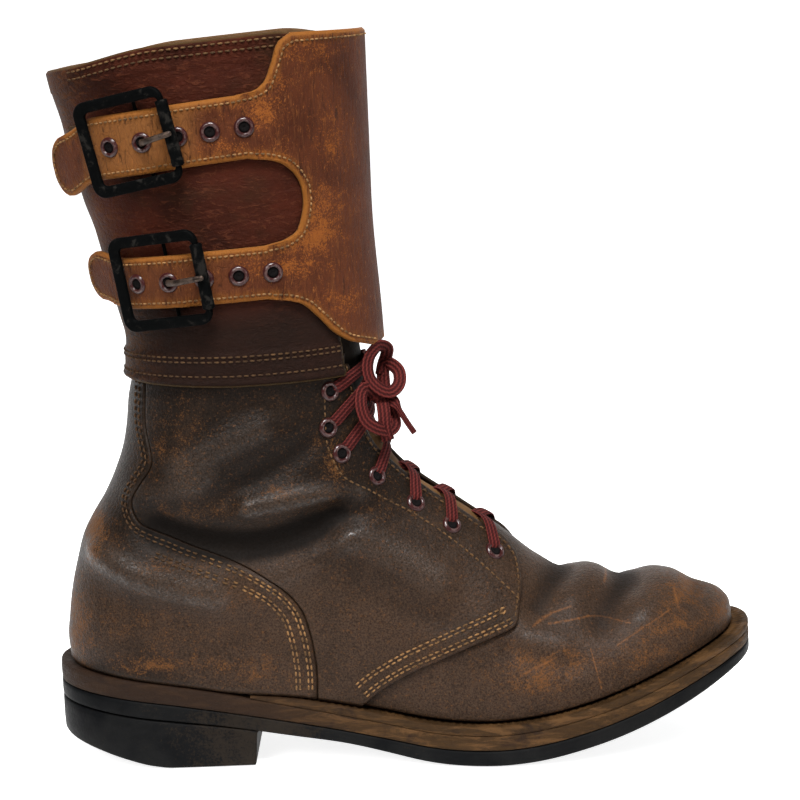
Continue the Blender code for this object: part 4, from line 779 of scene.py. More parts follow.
def add_node(tree, kind, props=None, **sockets):
    """Shader node with its properties set and its sockets, by name or place, fed."""
    node = tree.nodes.new("ShaderNode" + kind)
    for key, value in (props or {}).items():
        setattr(node, key, value)
    for key, value in sockets.items():
        feed(tree, node.inputs[int(key[2:]) if key.startswith("at") else key.replace("_", " ")], value)
    return node


def blend(tree, factor, a, b, mode="MIX"):
    """Colour a turned into b by a factor."""
    a = a if isinstance(a, bpy.types.NodeSocket) else tuple(a) + (1.0,)
    b = b if isinstance(b, bpy.types.NodeSocket) else tuple(b) + (1.0,)
    node = add_node(tree, "Mix", {"data_type": "RGBA", "blend_type": mode}, at0=factor, at6=a, at7=b)
    return node.outputs[2]


def number(tree, operation, a, b=0.0):
    """Result of one sum on two values."""
    return add_node(tree, "Math", {"operation": operation}, at0=a, at1=b).outputs[0]


def remap(tree, value, low, high, to_low=0.0, to_high=1.0):
    """Value brought from one range to another with soft ends."""
    node = add_node(tree, "MapRange", {"interpolation_type": "SMOOTHSTEP"}, at0=value, at1=low, at2=high, at3=to_low,
                    at4=to_high)
    return node.outputs[0]


def share_of(tree, value, share):
    """Value times a share."""
    return number(tree, "MULTIPLY", value, share)


def plus(tree, value, more, share):
    """Value with a share of another added."""
    return number(tree, "ADD", value, share_of(tree, more, share))


def tint(tree, colour, mask, share, tone):
    """Colour turned toward a tone by a share of a mask."""
    return blend(tree, share_of(tree, mask, share), colour, tone)


def noise(tree, vector, scale, detail=4.0, rough=0.55, warp=0.0):
    """Cloudy value between 0 and 1."""
    return add_node(tree, "TexNoise", None, Vector=vector, Scale=scale, Detail=detail, Roughness=rough,
                    Distortion=warp).outputs[0]


def stretched(tree, vector, scale):
    """Coordinates stretched by a factor along each axis."""
    return add_node(tree, "Mapping", None, Vector=vector, Scale=scale).outputs[0]


def place_of(tree):
    """Object coordinates, in metres."""
    return add_node(tree, "TexCoord").outputs["Object"]


def value_of(tree, name):
    """Point attribute of the piece."""
    return add_node(tree, "Attribute", {"attribute_name": name}).outputs["Fac"]


def level_of(tree, place, axis):
    """One axis of the coordinates: 0, 1 or 2."""
    return add_node(tree, "SeparateXYZ", None, Vector=place).outputs[axis]


def bump(tree, height, depth, strength):
    """Normal bent by a height of so many metres."""
    return add_node(tree, "Bump", None, Height=height, Distance=depth, Strength=strength).outputs[0]


def new_group(name, inputs, outputs):
    """Empty shader node group with named sockets, and its two ends."""
    group = bpy.data.node_groups.new(name, "ShaderNodeTree")
    for title, kind, default in inputs:
        socket = group.interface.new_socket(title, in_out="INPUT", socket_type="NodeSocket" + kind)
        if default is not None:
            socket.default_value = default
    for title, kind in outputs:
        group.interface.new_socket(title, in_out="OUTPUT", socket_type="NodeSocket" + kind)
    return group, group.nodes.new("NodeGroupInput"), group.nodes.new("NodeGroupOutput")


def hide_grain_group():
    """Grain of a hide: fine pebbled height, slow mottle and sparse flecks, all from layered noise."""
    group, start, end = new_group("hide_grain", (("Vector", "Vector", None), ("Scale", "Float", 1.0)),
                                  (("Height", "Float"), ("Mottle", "Float"), ("Fleck", "Float")))
    vector, scale = start.outputs[0], start.outputs[1]
    fine = noise(group, vector, share_of(group, scale, 1500.0), 3.0, 0.6)
    middle = noise(group, vector, share_of(group, scale, 420.0), 4.0, 0.6, 0.4)
    cells = add_node(group, "TexVoronoi", None, Vector=vector, Scale=share_of(group, scale, 700.0)).outputs[0]
    height = number(group, "ADD", share_of(group, fine, 0.5), share_of(group, middle, 0.7))
    height = number(group, "SUBTRACT", height, share_of(group, cells, 0.35))
    mottle = remap(group, noise(group, vector, share_of(group, scale, 34.0), 5.0, 0.6, 0.6), 0.3, 0.7)
    fleck = remap(group, noise(group, vector, share_of(group, scale, 820.0), 3.0, 0.7), 0.56, 0.74)
    group.links.new(height, end.inputs[0])
    group.links.new(mottle, end.inputs[1])
    group.links.new(fleck, end.inputs[2])
    return group


MASK_INPUTS = (("Vector", "Vector", None), ("Mask", "Float", 0.0), ("Scale", "Float", 1.0))
MASK_OUTPUT = (("Mask", "Float"),)


def rub_group():
    """Rubbing broken up by grain: the mask is widened and eaten by fine and coarse noise."""
    group, start, end = new_group("rub_marks", MASK_INPUTS, MASK_OUTPUT)
    place, mask, scale = start.outputs[:3]
    coarse = noise(group, place, share_of(group, scale, 130.0), 7.0, 0.7, 0.8)
    fine = noise(group, place, share_of(group, scale, 1250.0), 4.0, 0.85)
    broken = number(group, "ADD", share_of(group, coarse, 0.4), share_of(group, fine, 0.6))
    level = plus(group, broken, mask, 0.17)
    group.links.new(remap(group, level, 0.575, 0.675), end.inputs[0])
    return group


def chip_group():
    """Paint chips: sharp islands of coarse noise with finer noise at their edges."""
    group, start, end = new_group("paint_chips", MASK_INPUTS, MASK_OUTPUT)
    place, mask, scale = start.outputs[:3]
    coarse = noise(group, place, share_of(group, scale, 230.0), 7.0, 0.7, 0.5)
    level = plus(group, coarse, mask, 0.3)
    group.links.new(remap(group, level, 0.62, 0.72), end.inputs[0])
    return group


def line_group():
    """Scratch: distance in the side view to the line from start to end, made uneven by noise, then thresholded."""
    group, start, end = new_group("line_mark", (("Vector", "Vector", None), ("Start", "Vector", None),
                                                ("End", "Vector", None), ("Width", "Float", 0.001)), MASK_OUTPUT)
    place, first, last, width = start.outputs[:4]

    def sum_of(operation, output=0, **sockets):
        """Result of one sum on vectors."""
        return add_node(group, "VectorMath", {"operation": operation}, **sockets).outputs[output]

    flat = sum_of("MULTIPLY", at0=place, at1=(1.0, 0.0, 1.0))
    here = sum_of("SUBTRACT", at0=flat, at1=first)
    run = sum_of("SUBTRACT", at0=last, at1=first)
    on_run = sum_of("DOT_PRODUCT", "Value", at0=here, at1=run)
    length = sum_of("DOT_PRODUCT", "Value", at0=run, at1=run)
    share = add_node(group, "Math", {"operation": "DIVIDE", "use_clamp": True}, at0=on_run, at1=length).outputs[0]
    gap = sum_of("DISTANCE", "Value", at0=here, at1=sum_of("SCALE", at0=run, Scale=share))
    gap = plus(group, gap, noise(group, place, 900.0, 4.0, 0.7), 0.0012)
    group.links.new(remap(group, number(group, "SUBTRACT", gap, 0.0005), width, 0.0), end.inputs[0])
    return group


GROUPS = {}


def use_group(tree, name, **sockets):
    """One of the shared groups, built once and placed in a material with its own values."""
    if name not in GROUPS:
        GROUPS[name] = {"hide_grain": hide_grain_group, "rub_marks": rub_group, "paint_chips": chip_group,
                        "line_mark": line_group}[name]()
    return add_node(tree, "Group", {"node_tree": GROUPS[name]}, **sockets)


def start_material(name):
    """Material with its node tree and shader."""
    material = bpy.data.materials.new(name)
    material.use_nodes = True
    return material, material.node_tree, material.node_tree.nodes["Principled BSDF"]


def waxed_leather(tree, place, colours):
    """Dark rough-out leather: mottled brown, glossier on ridges and greyer there as painted highlight, darker in folds
    as painted shade, orange where rubbed.
    """
    grain = use_group(tree, "hide_grain", Vector=place, Scale=1.0)
    height_of_fold = value_of(tree, "fold")
    ridge = remap(tree, height_of_fold, 0.5, 2.6)
    trough = remap(tree, height_of_fold, -0.8, -4.2)
    rub = use_group(tree, "rub_marks", Vector=place, Mask=value_of(tree, "rub"), Scale=1.0).outputs[0]
    tone = number(tree, "ADD", share_of(tree, grain.outputs["Mottle"], 0.5), value_of(tree, "tone"))
    colour = blend(tree, remap(tree, tone, 0.05, 1.45), colours.leather_dark, colours.leather_mid)
    # painted highlight: the ridges of the folds turned greyer, as if catching the top light
    colour = tint(tree, colour, ridge, 0.3, (0.066, 0.049, 0.039))
    speck = remap(tree, noise(tree, place, 1300.0, 4.0, 0.8), 0.30, 0.70, 0.2, 1.75)
    colour = blend(tree, 0.85, colour, speck, "MULTIPLY")
    colour = tint(tree, colour, grain.outputs["Fleck"], 0.7, (0.115, 0.046, 0.014))
    colour = tint(tree, colour, rub, 0.75, colours.leather_rubbed)
    scratch = 0.0
    for x0, z0, x1, z1, half in SCRATCHES:
        ends = [tuple((np.array((x, 0.0, z)) - FRAME_ORIGIN * (1.0, 0.0, 1.0)) * MM) for x, z in ((x0, z0), (x1, z1))]
        mark = use_group(tree, "line_mark", Vector=place, Start=ends[0], End=ends[1], Width=2.0 * half * MM).outputs[0]
        scratch = number(tree, "MAXIMUM", mark, scratch)
    scratch = number(tree, "MULTIPLY", scratch, remap(tree, noise(tree, place, 420.0, 5.0, 0.8), 0.36, 0.6, 0.1, 0.75))
    colour = blend(tree, scratch, colour, (0.17, 0.066, 0.019))
    # painted shade: the troughs of the folds darkened almost to black
    colour = tint(tree, colour, trough, 0.95, (0.004, 0.0026, 0.0018))
    # painted shade: the cut edges and the inner face darkened, for the shadow in the gaps along them
    rim = remap(tree, value_of(tree, "edge"), 0.7, 0.2)
    colour = tint(tree, colour, rim, 0.6, (0.022, 0.013, 0.008))
    rough = number(tree, "SUBTRACT", remap(tree, grain.outputs["Height"], 0.2, 0.9, 0.36, 0.56),
                   share_of(tree, ridge, 0.12))
    rough = plus(tree, rough, rub, 0.2)
    rough = plus(tree, rough, trough, 0.3)
    glint = number(tree, "MULTIPLY", ridge, remap(tree, noise(tree, place, 800.0, 4.0, 0.75), 0.48, 0.62, 0.0, 0.55))
    return {"Base Color": colour, "Roughness": rough,
            "Normal": bump(tree, grain.outputs["Height"], 0.0004, 1.0), "Specular IOR Level": 0.1, "Coat Weight": glint,
            "Coat Roughness": 0.27}


def cuff_leather(tree, place, colours):
    """Dark red-brown smooth leather: fine creases across, slow mottle, darker in the low band, painted shade below the
    flap and lower strap, worn rim.
    """
    grain = use_group(tree, "hide_grain", Vector=place, Scale=0.8)
    creases = noise(tree, stretched(tree, place, (1.0, 1.0, 2.6)), 210.0, 6.0, 0.65, 1.2)
    colour = blend(tree, grain.outputs["Mottle"], colours.cuff_dark, colours.cuff_mid)
    olive = remap(tree, noise(tree, place, 34.0, 5.0, 0.6), 0.48, 0.66, 0.0, 0.6)
    colour = blend(tree, olive, colour, (0.030, 0.0135, 0.0065))
    colour = tint(tree, colour, remap(tree, creases, 0.52, 0.66), 0.65, (0.092, 0.027, 0.013))
    # darker in the low band, which is dark leather, and as painted shade from 212 mm down to 186 mm, the shadow below
    # the flap and its lower strap
    soil = number(tree, "MAXIMUM", share_of(tree, value_of(tree, "band"), 0.5),
                  remap(tree, level_of(tree, place, 2), 0.212, 0.186, 0.0, 0.9))
    colour = blend(tree, soil, colour, (0.014, 0.008, 0.006))
    worn = number(tree, "MULTIPLY", value_of(tree, "back"), remap(tree, creases, 0.38, 0.62))
    colour = tint(tree, colour, worn, 0.7, (0.105, 0.040, 0.011))
    rim = remap(tree, value_of(tree, "edge"), 1.1, 0.3)
    colour = tint(tree, colour, rim, 0.6, (0.085, 0.052, 0.018))
    colour = tint(tree, colour, value_of(tree, "inside"), 0.7, (0.16, 0.09, 0.045))
    height = plus(tree, grain.outputs["Height"], creases, 1.5)
    return {"Base Color": colour, "Roughness": remap(tree, creases, 0.3, 0.7, 0.4, 0.58),
            "Normal": bump(tree, height, 0.0006, 0.9), "Specular IOR Level": 0.035}


def flap_leather(tree, place, colours):
    """Mid brown strap leather: cracked along its height, pored, orange where rubbed, tan-orange raw edges."""
    grain = use_group(tree, "hide_grain", Vector=place, Scale=0.75)
    cracks = noise(tree, stretched(tree, place, (3.4, 3.4, 0.5)), 130.0, 7.0, 0.68, 1.4)
    cells = add_node(tree, "TexVoronoi", {"feature": "DISTANCE_TO_EDGE"},
                     Vector=stretched(tree, place, (1.9, 1.9, 0.7)), Scale=260.0).outputs[0]
    lines = remap(tree, cells, 0.10, 0.0)
    rub = use_group(tree, "rub_marks", Vector=place, Mask=value_of(tree, "rub"), Scale=1.0).outputs[0]
    colour = blend(tree, grain.outputs["Mottle"], colours.flap_dark, colours.flap_mid)
    colour = tint(tree, colour, value_of(tree, "light"), 0.75, (0.215, 0.084, 0.024))
    colour = tint(tree, colour, remap(tree, cracks, 0.54, 0.72), 0.45, (0.20, 0.072, 0.022))
    colour = tint(tree, colour, remap(tree, cracks, 0.46, 0.32), 0.8, (0.028, 0.010, 0.0055))
    streak = remap(tree, noise(tree, stretched(tree, place, (2.6, 2.6, 0.7)), 420.0, 6.0, 0.8, 0.5), 0.595, 0.645)
    colour = tint(tree, colour, streak, 0.75, (0.30, 0.105, 0.024))
    colour = tint(tree, colour, lines, 0.2, (0.045, 0.017, 0.009))
    colour = tint(tree, colour, rub, 0.8, colours.flap_rubbed)
    edge = value_of(tree, "edge")
    suede = number(tree, "MULTIPLY", remap(tree, edge, 6.0, 1.0), remap(tree, cracks, 0.36, 0.6))
    colour = tint(tree, colour, suede, 0.8, (0.21, 0.074, 0.015))
    colour = tint(tree, colour, remap(tree, edge, 1.9, 1.0), 0.85, colours.raw_edge)
    colour = tint(tree, colour, value_of(tree, "inside"), 0.8, (0.20, 0.105, 0.045))
    height = plus(tree, grain.outputs["Height"], cracks, 1.6)
    height = number(tree, "SUBTRACT", height, share_of(tree, lines, 0.35))
    rough = plus(tree, remap(tree, cracks, 0.3, 0.7, 0.45, 0.62), rub, 0.2)
    return {"Base Color": colour, "Roughness": rough,
            "Normal": bump(tree, height, 0.0005, 0.7), "Specular IOR Level": 0.07}


def tan_leather(tree, place, colours):
    """Tan lining leather with a soft nap and darker stains, and painted shade that darkens it from 125 to 150 mm up."""
    grain = use_group(tree, "hide_grain", Vector=place, Scale=1.0)
    colour = blend(tree, grain.outputs["Mottle"], (0.07, 0.036, 0.014), (0.16, 0.08, 0.028))
    # painted shade: the tongue darkened to near black from 125 to 150 mm up, where it lies in shadow
    colour = blend(tree, remap(tree, level_of(tree, place, 2), 0.125, 0.15), colour, (0.014, 0.010, 0.007))
    return {"Base Color": colour, "Roughness": 0.75,
            "Normal": bump(tree, grain.outputs["Height"], 0.0004, 0.7), "Specular IOR Level": 0.1}


def edge_leather(tree, place, colours):
    """Stacked sole leather: tan-brown layers drawn along the edge, dark stains, darker and redder at the heel."""
    grain = use_group(tree, "hide_grain", Vector=place, Scale=1.0)
    fibre = noise(tree, stretched(tree, place, (0.5, 0.5, 3.0)), 330.0, 6.0, 0.65, 0.6)
    stain = remap(tree, noise(tree, place, 95.0, 6.0, 0.7, 1.0), 0.53, 0.66)
    colour = blend(tree, fibre, colours.welt_dark, colours.welt_light)
    colour = tint(tree, colour, stain, 0.85, (0.018, 0.010, 0.006))
    worn = remap(tree, noise(tree, stretched(tree, place, (0.4, 0.4, 2.0)), 140.0, 6.0, 0.7, 0.8), 0.45, 0.65)
    colour = tint(tree, colour, worn, 0.55, (0.13, 0.064, 0.024))
    colour = tint(tree, colour, grain.outputs["Fleck"], 0.35, (0.05, 0.028, 0.014))
    colour = blend(tree, value_of(tree, "heelward"), colour, (0.018, 0.010, 0.007))
    height = plus(tree, grain.outputs["Height"], fibre, 1.2)
    return {"Base Color": colour, "Roughness": remap(tree, fibre, 0.3, 0.7, 0.5, 0.75),
            "Normal": bump(tree, height, 0.0005, 0.8), "Specular IOR Level": 0.07}


def black_rubber(tree, place, colours):
    """Worn black rubber: fine grain, grey scuffs, brown earth low on the heel."""
    grain = use_group(tree, "hide_grain", Vector=place, Scale=0.9)
    rub = use_group(tree, "rub_marks", Vector=place, Mask=value_of(tree, "earth"), Scale=0.7).outputs[0]
    colour = blend(tree, grain.outputs["Mottle"], colours.rubber, (0.0085, 0.0085, 0.0085))
    colour = tint(tree, colour, rub, 0.3, (0.040, 0.028, 0.018))
    return {"Base Color": colour, "Roughness": remap(tree, grain.outputs["Height"], 0.2, 0.9, 0.42, 0.62),
            "Normal": bump(tree, grain.outputs["Height"], 0.0003, 0.5), "Specular IOR Level": 0.03}


def black_iron(tree, place, colours):
    """Black painted iron, pitted, with the paint gone to dull metal in chips."""
    chips = use_group(tree, "paint_chips", Vector=place, Mask=value_of(tree, "bare"), Scale=1.0).outputs[0]
    pits = noise(tree, place, 900.0, 5.0, 0.7)
    colour = blend(tree, pits, (0.0012, 0.0013, 0.0013), (0.0036, 0.004, 0.0041))
    colour = tint(tree, colour, chips, 0.4, (0.036, 0.032, 0.028))
    rough = plus(tree, remap(tree, pits, 0.3, 0.7, 0.38, 0.55), chips, 0.1)
    return {"Base Color": colour, "Roughness": rough,
            "Normal": bump(tree, pits, 0.00025, 0.7), "Specular IOR Level": 0.015}


def worn_steel(tree, place, colours):
    """Worn steel with brown tarnish in its low places."""
    tarnish = noise(tree, place, 420.0, 6.0, 0.7, 0.6)
    colour = blend(tree, remap(tree, tarnish, 0.35, 0.65), (0.018, 0.011, 0.008), (0.10, 0.066, 0.048))
    return {"Base Color": colour, "Roughness": remap(tree, tarnish, 0.3, 0.7, 0.3, 0.55),
            "Normal": bump(tree, tarnish, 0.0002, 0.5), "Metallic": 0.6}


def eyelet_paint(tree, place, colours):
    """Maroon painted eyelet metal, worn bright on its crown, with painted shade making its bore black."""
    chips = use_group(tree, "paint_chips", Vector=place, Mask=value_of(tree, "bare"), Scale=2.2).outputs[0]
    colour = blend(tree, noise(tree, place, 700.0), colours.eyelet, (0.040, 0.009, 0.008))
    colour = tint(tree, colour, chips, 0.5, (0.14, 0.09, 0.08))
    # painted shade: the bore's walls and its disc turned near black
    colour = blend(tree, value_of(tree, "bore"), colour, (0.004, 0.003, 0.003))
    coat = number(tree, "MULTIPLY", number(tree, "SUBTRACT", 1.0, value_of(tree, "bore")), 0.6)
    return {"Base Color": colour, "Roughness": remap(tree, value_of(tree, "bore"), 0.0, 1.0, 0.34, 1.0),
            "Normal": bump(tree, noise(tree, place, 1200.0), 0.0001, 0.4), "Specular IOR Level": 0.15,
            "Coat Weight": coat, "Coat Roughness": 0.06}


def lace_braid(tree, place, colours):
    """Flat braid, maroon with light tops: ribs from a wave across the lace, slanted yarns from a second wave."""
    along = number(tree, "MULTIPLY", value_of(tree, "along"), 3.6)
    across = number(tree, "MULTIPLY", value_of(tree, "across"), 20.0)
    rib = number(tree, "SINE", across)
    slant = number(tree, "SINE", number(tree, "ADD", along, across))
    yarn = remap(tree, plus(tree, rib, slant, 0.45), -0.9, 1.1)
    colour = blend(tree, yarn, colours.lace_dark, colours.lace_light)
    colour = tint(tree, colour, noise(tree, place, 500.0), 0.5, (0.035, 0.006, 0.006))
    return {"Base Color": colour, "Roughness": 0.85,
            "Normal": bump(tree, yarn, 0.0004, 0.9), "Specular IOR Level": 0.1}


def thread_twist(tree, place, colours):
    """Waxed tan thread, with darker soiled stitches."""
    soil = noise(tree, place, 260.0, 5.0, 0.7)
    colour = blend(tree, remap(tree, soil, 0.38, 0.62), colours.thread, (0.10, 0.056, 0.025))
    colour = blend(tree, value_of(tree, "soil"), colour, (0.035, 0.019, 0.011))
    return {"Base Color": colour, "Roughness": 0.75,
            "Normal": bump(tree, noise(tree, place, 2600.0), 0.0002, 0.8), "Specular IOR Level": 0.1}


FINISHES = {make.__name__: make for make in (
    waxed_leather, cuff_leather, flap_leather, tan_leather, edge_leather, black_rubber, black_iron, worn_steel,
    eyelet_paint, lace_braid, thread_twist)}
MATERIALS = {}


def material_of(name):
    """Named finish, made the first time that it is asked for; its function gives what feeds the shader's sockets."""
    if name not in MATERIALS:
        MATERIALS[name], tree, shader = start_material(name)
        sockets = FINISHES[name](tree, place_of(tree), bpy.context.scene.boot_colours)
        for key, value in sockets.items():
            feed(tree, shader.inputs[key], value)
    return MATERIALS[name]


UPPER_ROWS = 150
UPPER_SIDE = 50
UPPER_THROAT = 8
UPPER_RISE = 36
UPPER_ROUND = 1.0
COLLAR_STEPS = 24


def upper_half(side):
    """Half of the upper by section row and girth, then by rows that rise from the heel section to the level collar."""
    base = HEEL_ROW * np.linspace(0.0, 1.0, UPPER_ROWS) ** 1.15
    slit = int(np.argmin(np.abs(base - THROAT_ROW)))
    base[slit] = THROAT_ROW
    full = section(base, side)[1][:, -1]
    edge = np.minimum(THROAT_HALF, 0.3 * full)
    across = np.linspace(0.0, 1.0, UPPER_THROAT + 1)
    down = 1.0 - (1.0 - np.linspace(0.0, 1.0, UPPER_SIDE + 1)[1:]) ** 1.2
    s = np.concatenate([edge[:, None] * across, edge[:, None] + (full - edge)[:, None] * down], axis=1)
    points, normals = foot_wrap(base, s, side)
    part = s[-1] / full[-1]
    lo = np.full(part.shape, float(HEEL_ROW))
    hi = np.full(part.shape, float(LAST_ROW))
    for _ in range(COLLAR_STEPS):
        mid = 0.5 * (lo + hi)
        curve, run = section(mid, side)
        z = pick(curve, run, (part * run[:, -1])[:, None])[:, 0, 2]
        lo = np.where(z < COLLAR_Z, mid, lo)
        hi = np.where(z < COLLAR_Z, hi, mid)
    rise = np.arange(1, UPPER_RISE + 1) / UPPER_RISE
    t = (HEEL_ROW + (lo - HEEL_ROW)[None, :] * rise[:, None]).ravel()
    run = section(t, side)[1][:, -1]
    more, more_normals = foot_wrap(t, (np.tile(part, UPPER_RISE) * run)[:, None], side)
    shape = (UPPER_RISE, len(part), 3)
    points = np.concatenate([points, more.reshape(shape)])
    normals = np.concatenate([normals, more_normals.reshape(shape)])
    height = fold(points[..., 0], points[..., 2], side)
    return points + height[..., None] * normals, normals, height, slit


def both(lateral, medial):
    """Lateral and medial halves put side by side, the lateral one turned round, the middle column once."""
    return np.concatenate([lateral[:, ::-1], medial[:, 1:]], axis=1)


def foot_values(points, height):
    """Values that the leather's finish reads: fold height, rubbed places and tone."""
    x, z = points[..., 0].ravel(), points[..., 2].ravel()
    tone = 0.95 - 0.95 * ramp(z, 70.0, 125.0) - 0.2 * ramp(x, 95.0, 130.0) * (1.0 - ramp(x, 190.0, 215.0))
    tone = tone - 0.25 * (1.0 - ramp(x, 90.0, 130.0)) * (1.0 - ramp(z, 40.0, 60.0))
    tone = tone - 0.45 * (1.0 - ramp(x, 25.0, 75.0)) * (1.0 - ramp(z, 95.0, 125.0))
    return {"fold": height, "rub": rubbed(x, z, RUBS), "tone": tone}


class BOOT_OT_upper(bpy.types.Operator):
    """Vamp and ankle as one folded hide, open at throat, collar and sole"""

    bl_idname = "boot.upper"
    bl_label = "Upper"

    def execute(self, context):
        *lateral, slit = upper_half(-1)
        *medial, _slit = upper_half(1)
        points, normals, height = [both(*pair) for pair in zip(lateral, medial)]
        rows, columns = points.shape[:2]
        keep = np.ones((rows - 1, columns - 1), bool)
        keep[slit:, UPPER_SIDE:columns - 1 - UPPER_SIDE] = False
        add_hide("upper_hide", points, normals, grid_quads(rows, columns, keep), -WALL, 0.0, UPPER_ROUND,
                 "waxed_leather", ("upper",), **foot_values(points, height))
        return {"FINISHED"}


SEAM_GAP = 0.2
SEAM_BY_ROW = [(i,) + r for i, r in enumerate(SEAM)]


def seam_row(r):
    """Shared edge and front edge at a row of the seam table: z, x, front x and front z."""
    return [smooth(SEAM_BY_ROW, k, r) for k in (1, 2, 3, 4)]


def stand_on_seat(x, z, r):
    """Lowest row brought onto the seat, the change spread over the rows above it."""
    share = np.clip(1.0 - r / SEAT_ROWS, 0.0, 1.0)
    return z + share * (seat(x) + SEAT_GAP - z[:1])


def quarter_grid(rows, columns):
    """Side-view places of a quarter: rows along the seam table, columns straight from seam to front edge."""
    r = np.linspace(0.0, SEAM_ROWS, rows)[:, None]
    z, x_seam, x_front, z_front = seam_row(r)
    a = 1.0 - (1.0 - np.linspace(0.0, 1.0, columns)[None, :]) ** 1.2
    x = (x_seam + SEAM_GAP) * (1 - a) + x_front * a
    return x, stand_on_seat(x, z * (1 - a) + z_front * a, r)


QUARTER_GRID = (130, 130)
COUNTER_GRID = (120, 70)
NEAR_BACK = 0.0004
OVERLAY_ROUND = 0.9


class BOOT_OT_overlays(bpy.types.Operator):
    """Quarters with their facings and the heel counter, laid on the upper"""

    bl_idname = "boot.overlays"
    bl_label = "Quarters and counter"

    def execute(self, context):
        x, z = quarter_grid(*QUARTER_GRID)
        for name, side in (("quarter_lateral", -1), ("quarter_medial", 1)):
            points, normals = skin(x, z, side, 0.0)
            add_hide(name + "_hide", points, normals, grid_quads(*QUARTER_GRID), LAYER_GAP, LAYER_GAP + QUARTER_THICK,
                     OVERLAY_ROUND, "waxed_leather", (name,), **foot_values(points, fold(x, z, side)))
        rows, columns = COUNTER_GRID
        r = np.linspace(0.0, SEAM_ROWS, rows)[:, None]
        z, x_seam, _x_front, _z_front = seam_row(r)
        spread = np.maximum(np.linspace(0.0, 1.0, columns)[None, :] ** 2, NEAR_BACK)
        back = smooth(BACK, 1, z)
        x = back + (x_seam - back) * spread
        z = stand_on_seat(x, z + 0.0 * x, r)
        back = smooth(BACK, 1, z)
        x = back + (x_seam - back) * spread
        halves = [skin(x, z, side, 0.0) + (fold(x, z, side),) for side in (-1, 1)]
        for half in halves:
            half[0][:, 0, 1] = 0.0
            half[1][:, 0, 1] = 0.0
        points, normals, height = [both(*pair) for pair in zip(*halves)]
        add_hide("counter_hide", points, unit(normals), grid_quads(rows, 2 * columns - 1), LAYER_GAP,
                 LAYER_GAP + COUNTER_THICK, OVERLAY_ROUND, "waxed_leather", ("counter",),
                 **foot_values(points, height))
        return {"FINISHED"}


TONGUE_ROWS = np.linspace(7.2, 18.0, 70)
TONGUE_ACROSS = np.linspace(0.0, 1.0, 20)[None, :]
TONGUE_SWELL = 2.2
TONGUE_ROUND = 1.2


class BOOT_OT_tongue(bpy.types.Operator):
    """Tongue under the laces"""

    bl_idname = "boot.tongue"
    bl_label = "Tongue"

    def execute(self, context):
        halves = []
        for side in (-1, 1):
            full = section(TONGUE_ROWS, side)[1][:, -1:]
            halves.append(foot_wrap(TONGUE_ROWS, np.minimum(TONGUE_HALF, 0.42 * full) * TONGUE_ACROSS, side))
        points, normals = [both(*pair) for pair in zip(*halves)]
        share = both(TONGUE_ACROSS, TONGUE_ACROSS)
        wave = 0.3 * np.sin(points[..., 2] / 5.0 + points[..., 1] / 9.0) + TONGUE_SWELL * (1.0 - ramp(share, 0.45, 0.8))
        add_hide("tongue_hide", points, normals, grid_quads(*points.shape[:2]), -TONGUE_DROP - TONGUE_THICK,
                 -TONGUE_DROP, TONGUE_ROUND, "tan_leather", ("tongue",), relief=wave)
        return {"FINISHED"}


CUFF_GRID = (150, 70)
CUFF_SEAM_GRID = (40, 120)
CUFF_ROUND = 1.2


def cuff_grid(rows, columns):
    """Heights, falls and girths of the cuff's rows on each side, from its front edges to the back."""
    v = np.linspace(CUFF_LOW, RIM_Z, rows)
    fall = RIM_FALL * (v - CUFF_LOW) / (RIM_Z - CUFF_LOW)
    girths = []
    for side, front in ((-1, CUFF_FRONT_OUTER), (1, CUFF_FRONT_INNER)):
        full = ring(v, fall, side)[1][:, -1:]
        girths.append(front + (full - front) * (1.0 - (1.0 - np.linspace(0.0, 1.0, columns)[None, :]) ** 1.2))
    return v, fall, girths


def rim_lift(level, girth):
    """Arch of the rim: high beside the flap, gone under it and at the back, and only in the rows near the rim."""
    arch = ramp(girth, *ARCH_FRONT) * (1.0 - ramp(girth, *ARCH_BACK))
    return RIM_ARCH * arch * ramp(level, RIM_Z - ARCH_ROWS, RIM_Z)


